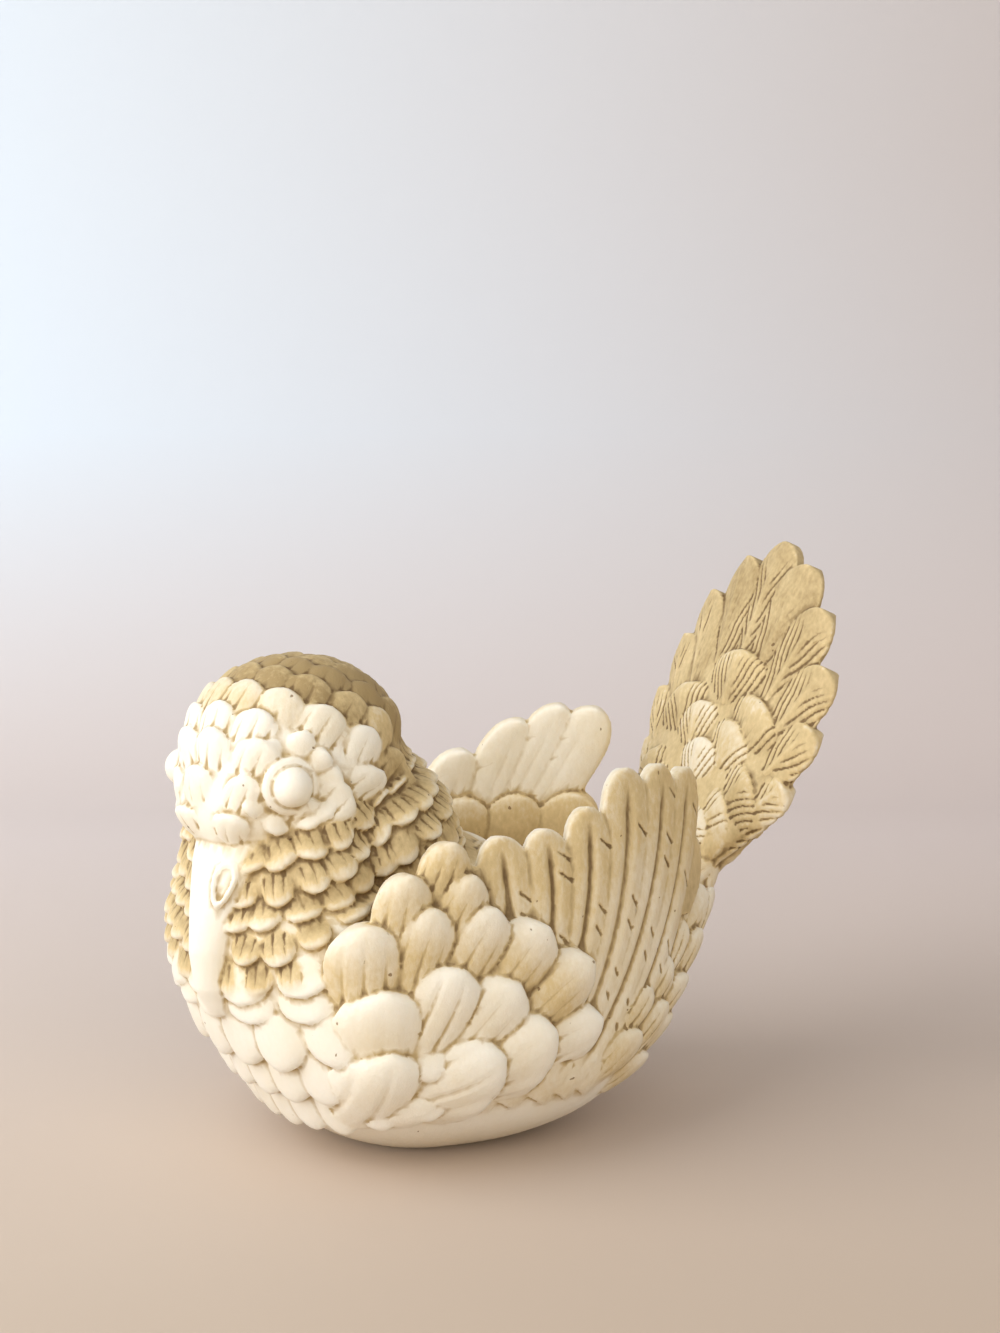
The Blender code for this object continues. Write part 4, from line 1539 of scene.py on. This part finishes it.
@dataclass(frozen=True)
class WashedAlabaster:
    """White alabaster under an ochre wash that was brushed on and wiped off the high places."""

    stone: Colour = (0.91, 0.87, 0.77, 1.0)
    cream: Colour = (0.88, 0.82, 0.66, 1.0)
    glaze: Colour = (0.72, 0.58, 0.34, 1.0)
    second_glaze: Colour = (0.56, 0.51, 0.42, 1.0)
    umber: Colour = (0.30, 0.20, 0.09, 1.0)
    roughness: float = 0.58
    glow: float = 0.12
    glow_depth: float = 0.0022
    cloud_scale: float = 90.0
    brush_scale: float = 1100.0
    grain_scale: float = 2600.0
    speck_scale: float = 520.0
    deep_range: Spot = (0.008, 0.09)
    low_range: Spot = (0.0, 0.9)
    worn_range: Spot = (0.02, 0.12)
    cloud_range: Spot = (0.35, 0.75)
    speck_range: Spot = (0.775, 0.79)
    bump_strength: float = 0.6
    bump_height: float = 0.0002

    def material(self) -> bpy.types.Material:
        """Builds the finish as a node material."""
        material, bench = new_material("washed_alabaster")
        crease = bench.attribute("crease")
        hollow = bench.attribute("hollow")
        wash = bench.attribute("wash")
        cloud = bench.noise(self.cloud_scale, 4.0)
        brush = bench.noise(self.brush_scale, 3.0, stretch=(1.0, 1.0, 0.6))
        grain = bench.noise(self.grain_scale, 4.0, 0.65)
        speck = bench.noise(self.speck_scale, 1.0)

        deep = crease.stepped(*self.deep_range)
        low = hollow.stepped(*self.low_range)
        worn = (crease * -1.0).stepped(*self.worn_range)
        cover = 0.90 + 0.7 * (brush - 0.5) + 0.8 * (cloud - 0.5)
        layer = wash * (cover + 0.5 * low - 0.35 * worn) + 0.9 * deep
        stain = (deep * (0.6 + 0.4 * wash) * (0.3 + brush)).clamped()
        pit = (speck.stepped(*self.speck_range) * 0.8).clamped()

        creamy = (cloud.stepped(*self.cloud_range) * 0.5).clamped()
        colour = bench.blended(creamy, self.stone, self.cream)
        colour = bench.blended(layer.clamped(), colour, self.glaze, "MULTIPLY")
        colour = bench.blended((layer - 1.0).clamped(), colour, self.second_glaze, "MULTIPLY")
        colour = bench.blended(stain * 0.8, colour, self.umber, "MULTIPLY")
        colour = bench.blended(pit, colour, self.umber, "MULTIPLY")

        rough = self.roughness + 0.2 * (grain - 0.5) + 0.1 * layer.clamped()
        height = grain * 0.5 + brush * 0.6 - pit * 1.5
        bump = bench.node(
            "ShaderNodeBump", Strength=self.bump_strength, Distance=self.bump_height, Height=height
        )
        shader = bench.node(
            "ShaderNodeBsdfPrincipled",
            Base_Color=colour,
            Roughness=rough,
            IOR=1.5,
            Normal=bump.outputs[0],
            Subsurface_Weight=self.glow,
            Subsurface_Scale=self.glow_depth,
            Subsurface_Radius=(1.0, 0.8, 0.6),
        )
        bench.node("ShaderNodeOutputMaterial", Surface=shader.outputs[0])
        return material


@dataclass(frozen=True)
class PaleSweep:
    """A pale floor that curves up into a wall behind the statue, away from the camera."""

    near: float = 0.9
    wall_distance: float = 0.55
    bend: float = 0.25
    half_width: float = 1.6
    wall_height: float = 1.2
    climb_range: Spot = (-0.01, 0.12)
    behind_range: Spot = (-0.25, 0.25)
    shade_falloff_range: Spot = (-0.30, 0.28)
    near_floor: Colour = (0.43, 0.31, 0.18, 1.0)
    far_floor: Colour = (0.72, 0.61, 0.55, 1.0)
    # Painted light and shade: the wall is cool and bright on the left, where the light comes from, and dim
    # and warm on the right.
    lit_left_wall: Colour = (0.78, 0.89, 0.98, 1.0)
    shaded_right_wall: Colour = (0.66, 0.60, 0.57, 1.0)

    def build(self, away: Vector) -> bpy.types.Object:
        """Builds the sweep.

        Args:
            away: level direction from the camera to the statue.

        Returns:
            The sweep's object.
        """
        side = Vector((away.y, -away.x, 0.0))
        profile = [(-self.near, 0.0), (self.wall_distance - self.bend, 0.0)]
        for a in np.linspace(0, math.pi / 2, 16):
            out = self.wall_distance - self.bend + self.bend * math.sin(a)
            profile.append((out, self.bend * (1 - math.cos(a))))
        profile.append((self.wall_distance, self.wall_height))
        points = []
        for out, up in profile:
            for s in (-1, 1):
                points.append(away * out + side * (s * self.half_width) + Vector((0, 0, up)))
        faces = [(2 * i, 2 * i + 1, 2 * i + 3, 2 * i + 2) for i in range(len(profile) - 1)]
        mesh = bpy.data.meshes.new("pale_sweep")
        mesh.from_pydata(points, [], faces)
        mesh.shade_smooth()
        obj = linked("pale_sweep", mesh)
        mesh.materials.append(self.material(away, side))
        return obj

    def material(self, away: Vector, side: Vector) -> bpy.types.Material:
        """Matt card that turns from warm on the floor to cool up the wall, and warm to the right. Up the
        wall, the cool bright left and the dim warm right are painted light and painted shade: the light's
        falloff across the wall.

        Args:
            away: level direction from the camera to the statue.
            side: level direction to the camera's right.

        Returns:
            The card's material.
        """
        material, bench = new_material("pale_card")
        where = bench.node("ShaderNodeNewGeometry").outputs["Position"]
        climb = bench.along(where, Vector((0, 0, 1))).stepped(*self.climb_range)
        behind = bench.along(where, away).stepped(*self.behind_range)
        # Painted falloff of the light across the wall, from the lit left to the shaded right.
        right = bench.along(where, side).stepped(*self.shade_falloff_range)
        floor = bench.blended(behind, self.near_floor, self.far_floor)
        wall = bench.blended(right, self.lit_left_wall, self.shaded_right_wall)
        colour = bench.blended(climb, floor, wall)
        shader = bench.node("ShaderNodeBsdfPrincipled", Base_Color=colour, Roughness=0.8)
        bench.node("ShaderNodeOutputMaterial", Surface=shader.outputs[0])
        return material


@dataclass(frozen=True)
class Camera:
    """The camera, placed by its direction and by the photo's pixel that shows the statue's origin."""

    azimuth: float = math.radians(66.0)
    elevation: float = math.radians(20.0)
    distance: float = 0.45
    pixels_per_metre: float = 4780.0
    origin_pixel: Spot = (440.0, 1112.0)
    sensor: float = 36.0

    def outward(self) -> Vector:
        """Direction from the statue to the camera."""
        level = math.cos(self.elevation)
        x, y = math.sin(self.azimuth) * level, -math.cos(self.azimuth) * level
        return Vector((x, y, math.sin(self.elevation)))

    def focal_pixels(self) -> float:
        """Focal length in pixels of the photo."""
        return self.pixels_per_metre * self.distance

    def turned(self) -> Matrix:
        """The camera's rotation, with no roll, that puts the origin on its pixel."""
        focal = self.focal_pixels()
        ray = Vector(
            (
                (self.origin_pixel[0] - PHOTO_WIDTH / 2) / focal,
                (PHOTO_HEIGHT / 2 - self.origin_pixel[1]) / focal,
                -1.0,
            )
        ).normalized()
        target = -self.outward()
        heading = math.atan2(target.y, target.x)
        level = math.hypot(target.x, target.y)
        turn = heading - math.acos(ray.x / level)
        right = Vector((math.cos(turn), math.sin(turn), 0.0))
        inward = (target - right * ray.x).normalized()
        tilt = math.atan2(ray.y, -ray.z)
        forward = inward * math.cos(tilt) - right.cross(inward) * math.sin(tilt)
        return Matrix((right, right.cross(forward), -forward)).transposed()

    def build(self) -> None:
        """Makes the camera the scene's own."""
        data = bpy.data.cameras.new("camera")
        data.sensor_fit = "AUTO"
        data.sensor_width = self.sensor
        data.lens = self.sensor * self.focal_pixels() / PHOTO_HEIGHT
        data.clip_start = 0.01
        obj = linked("camera", data)
        obj.matrix_world = Matrix.Translation(self.outward() * self.distance) @ self.turned().to_4x4()
        bpy.context.scene.camera = obj


@dataclass(frozen=True)
class SoftBox:
    """A soft rectangular light that faces the statue."""

    name: str
    spot: Place
    size: float
    power: float
    colour: tuple[float, float, float]

    def build(self) -> None:
        """Hangs the light."""
        data = bpy.data.lights.new(self.name, "AREA")
        data.size = self.size
        data.energy = self.power
        data.color = self.colour
        obj = linked(self.name, data)
        obj.location = self.spot
        obj.rotation_mode = "QUATERNION"
        obj.rotation_quaternion = (obj.location - Vector((0, 0, HEIGHT / 2))).to_track_quat("Z", "Y")


@dataclass(frozen=True)
class Studio:
    """Floor, wall, camera and lights."""

    camera: Camera = Camera()
    sweep: PaleSweep = PaleSweep()
    lights: tuple[SoftBox, ...] = (
        SoftBox("key_light", (0.0, -0.62, 0.40), 0.75, 5.8, (1.0, 1.0, 1.0)),
        SoftBox("fill_light", (0.9, -0.1, 0.5), 0.9, 3.8, (1.0, 0.92, 0.77)),
        SoftBox("wall_light", (-1.1, -0.35, 0.9), 0.6, 14.0, (0.70, 0.86, 1.0)),
    )
    sky: Colour = (0.88, 0.91, 1.0, 1.0)
    sky_strength: float = 0.54

    def build(self) -> None:
        """Sets up everything round the statue."""
        away = self.camera.outward() * -1.0
        away.z = 0.0
        self.sweep.build(away.normalized())
        self.camera.build()
        for light in self.lights:
            light.build()
        world = bpy.data.worlds.new("soft_sky")
        world.use_nodes = True
        bench = NodeBench(world.node_tree)
        glow = bench.node("ShaderNodeBackground", Color=self.sky, Strength=self.sky_strength)
        bench.node("ShaderNodeOutputWorld", Surface=glow.outputs[0])
        bpy.context.scene.world = world
        bpy.context.scene.view_settings.view_transform = "Standard"


def main() -> None:
    """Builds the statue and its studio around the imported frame."""
    logging.basicConfig(level=logging.INFO, format="%(name)s: %(message)s")
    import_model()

    Studio().build()
    log.info("studio is set")

    stone = Dove().carved()
    stone.data.materials.append(WashedAlabaster().material())
    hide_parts("dove")
    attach(stone, "root")
    log.info("dove_stone has %d triangles", len(stone.data.polygons))


if __name__ == "__main__":
    main()
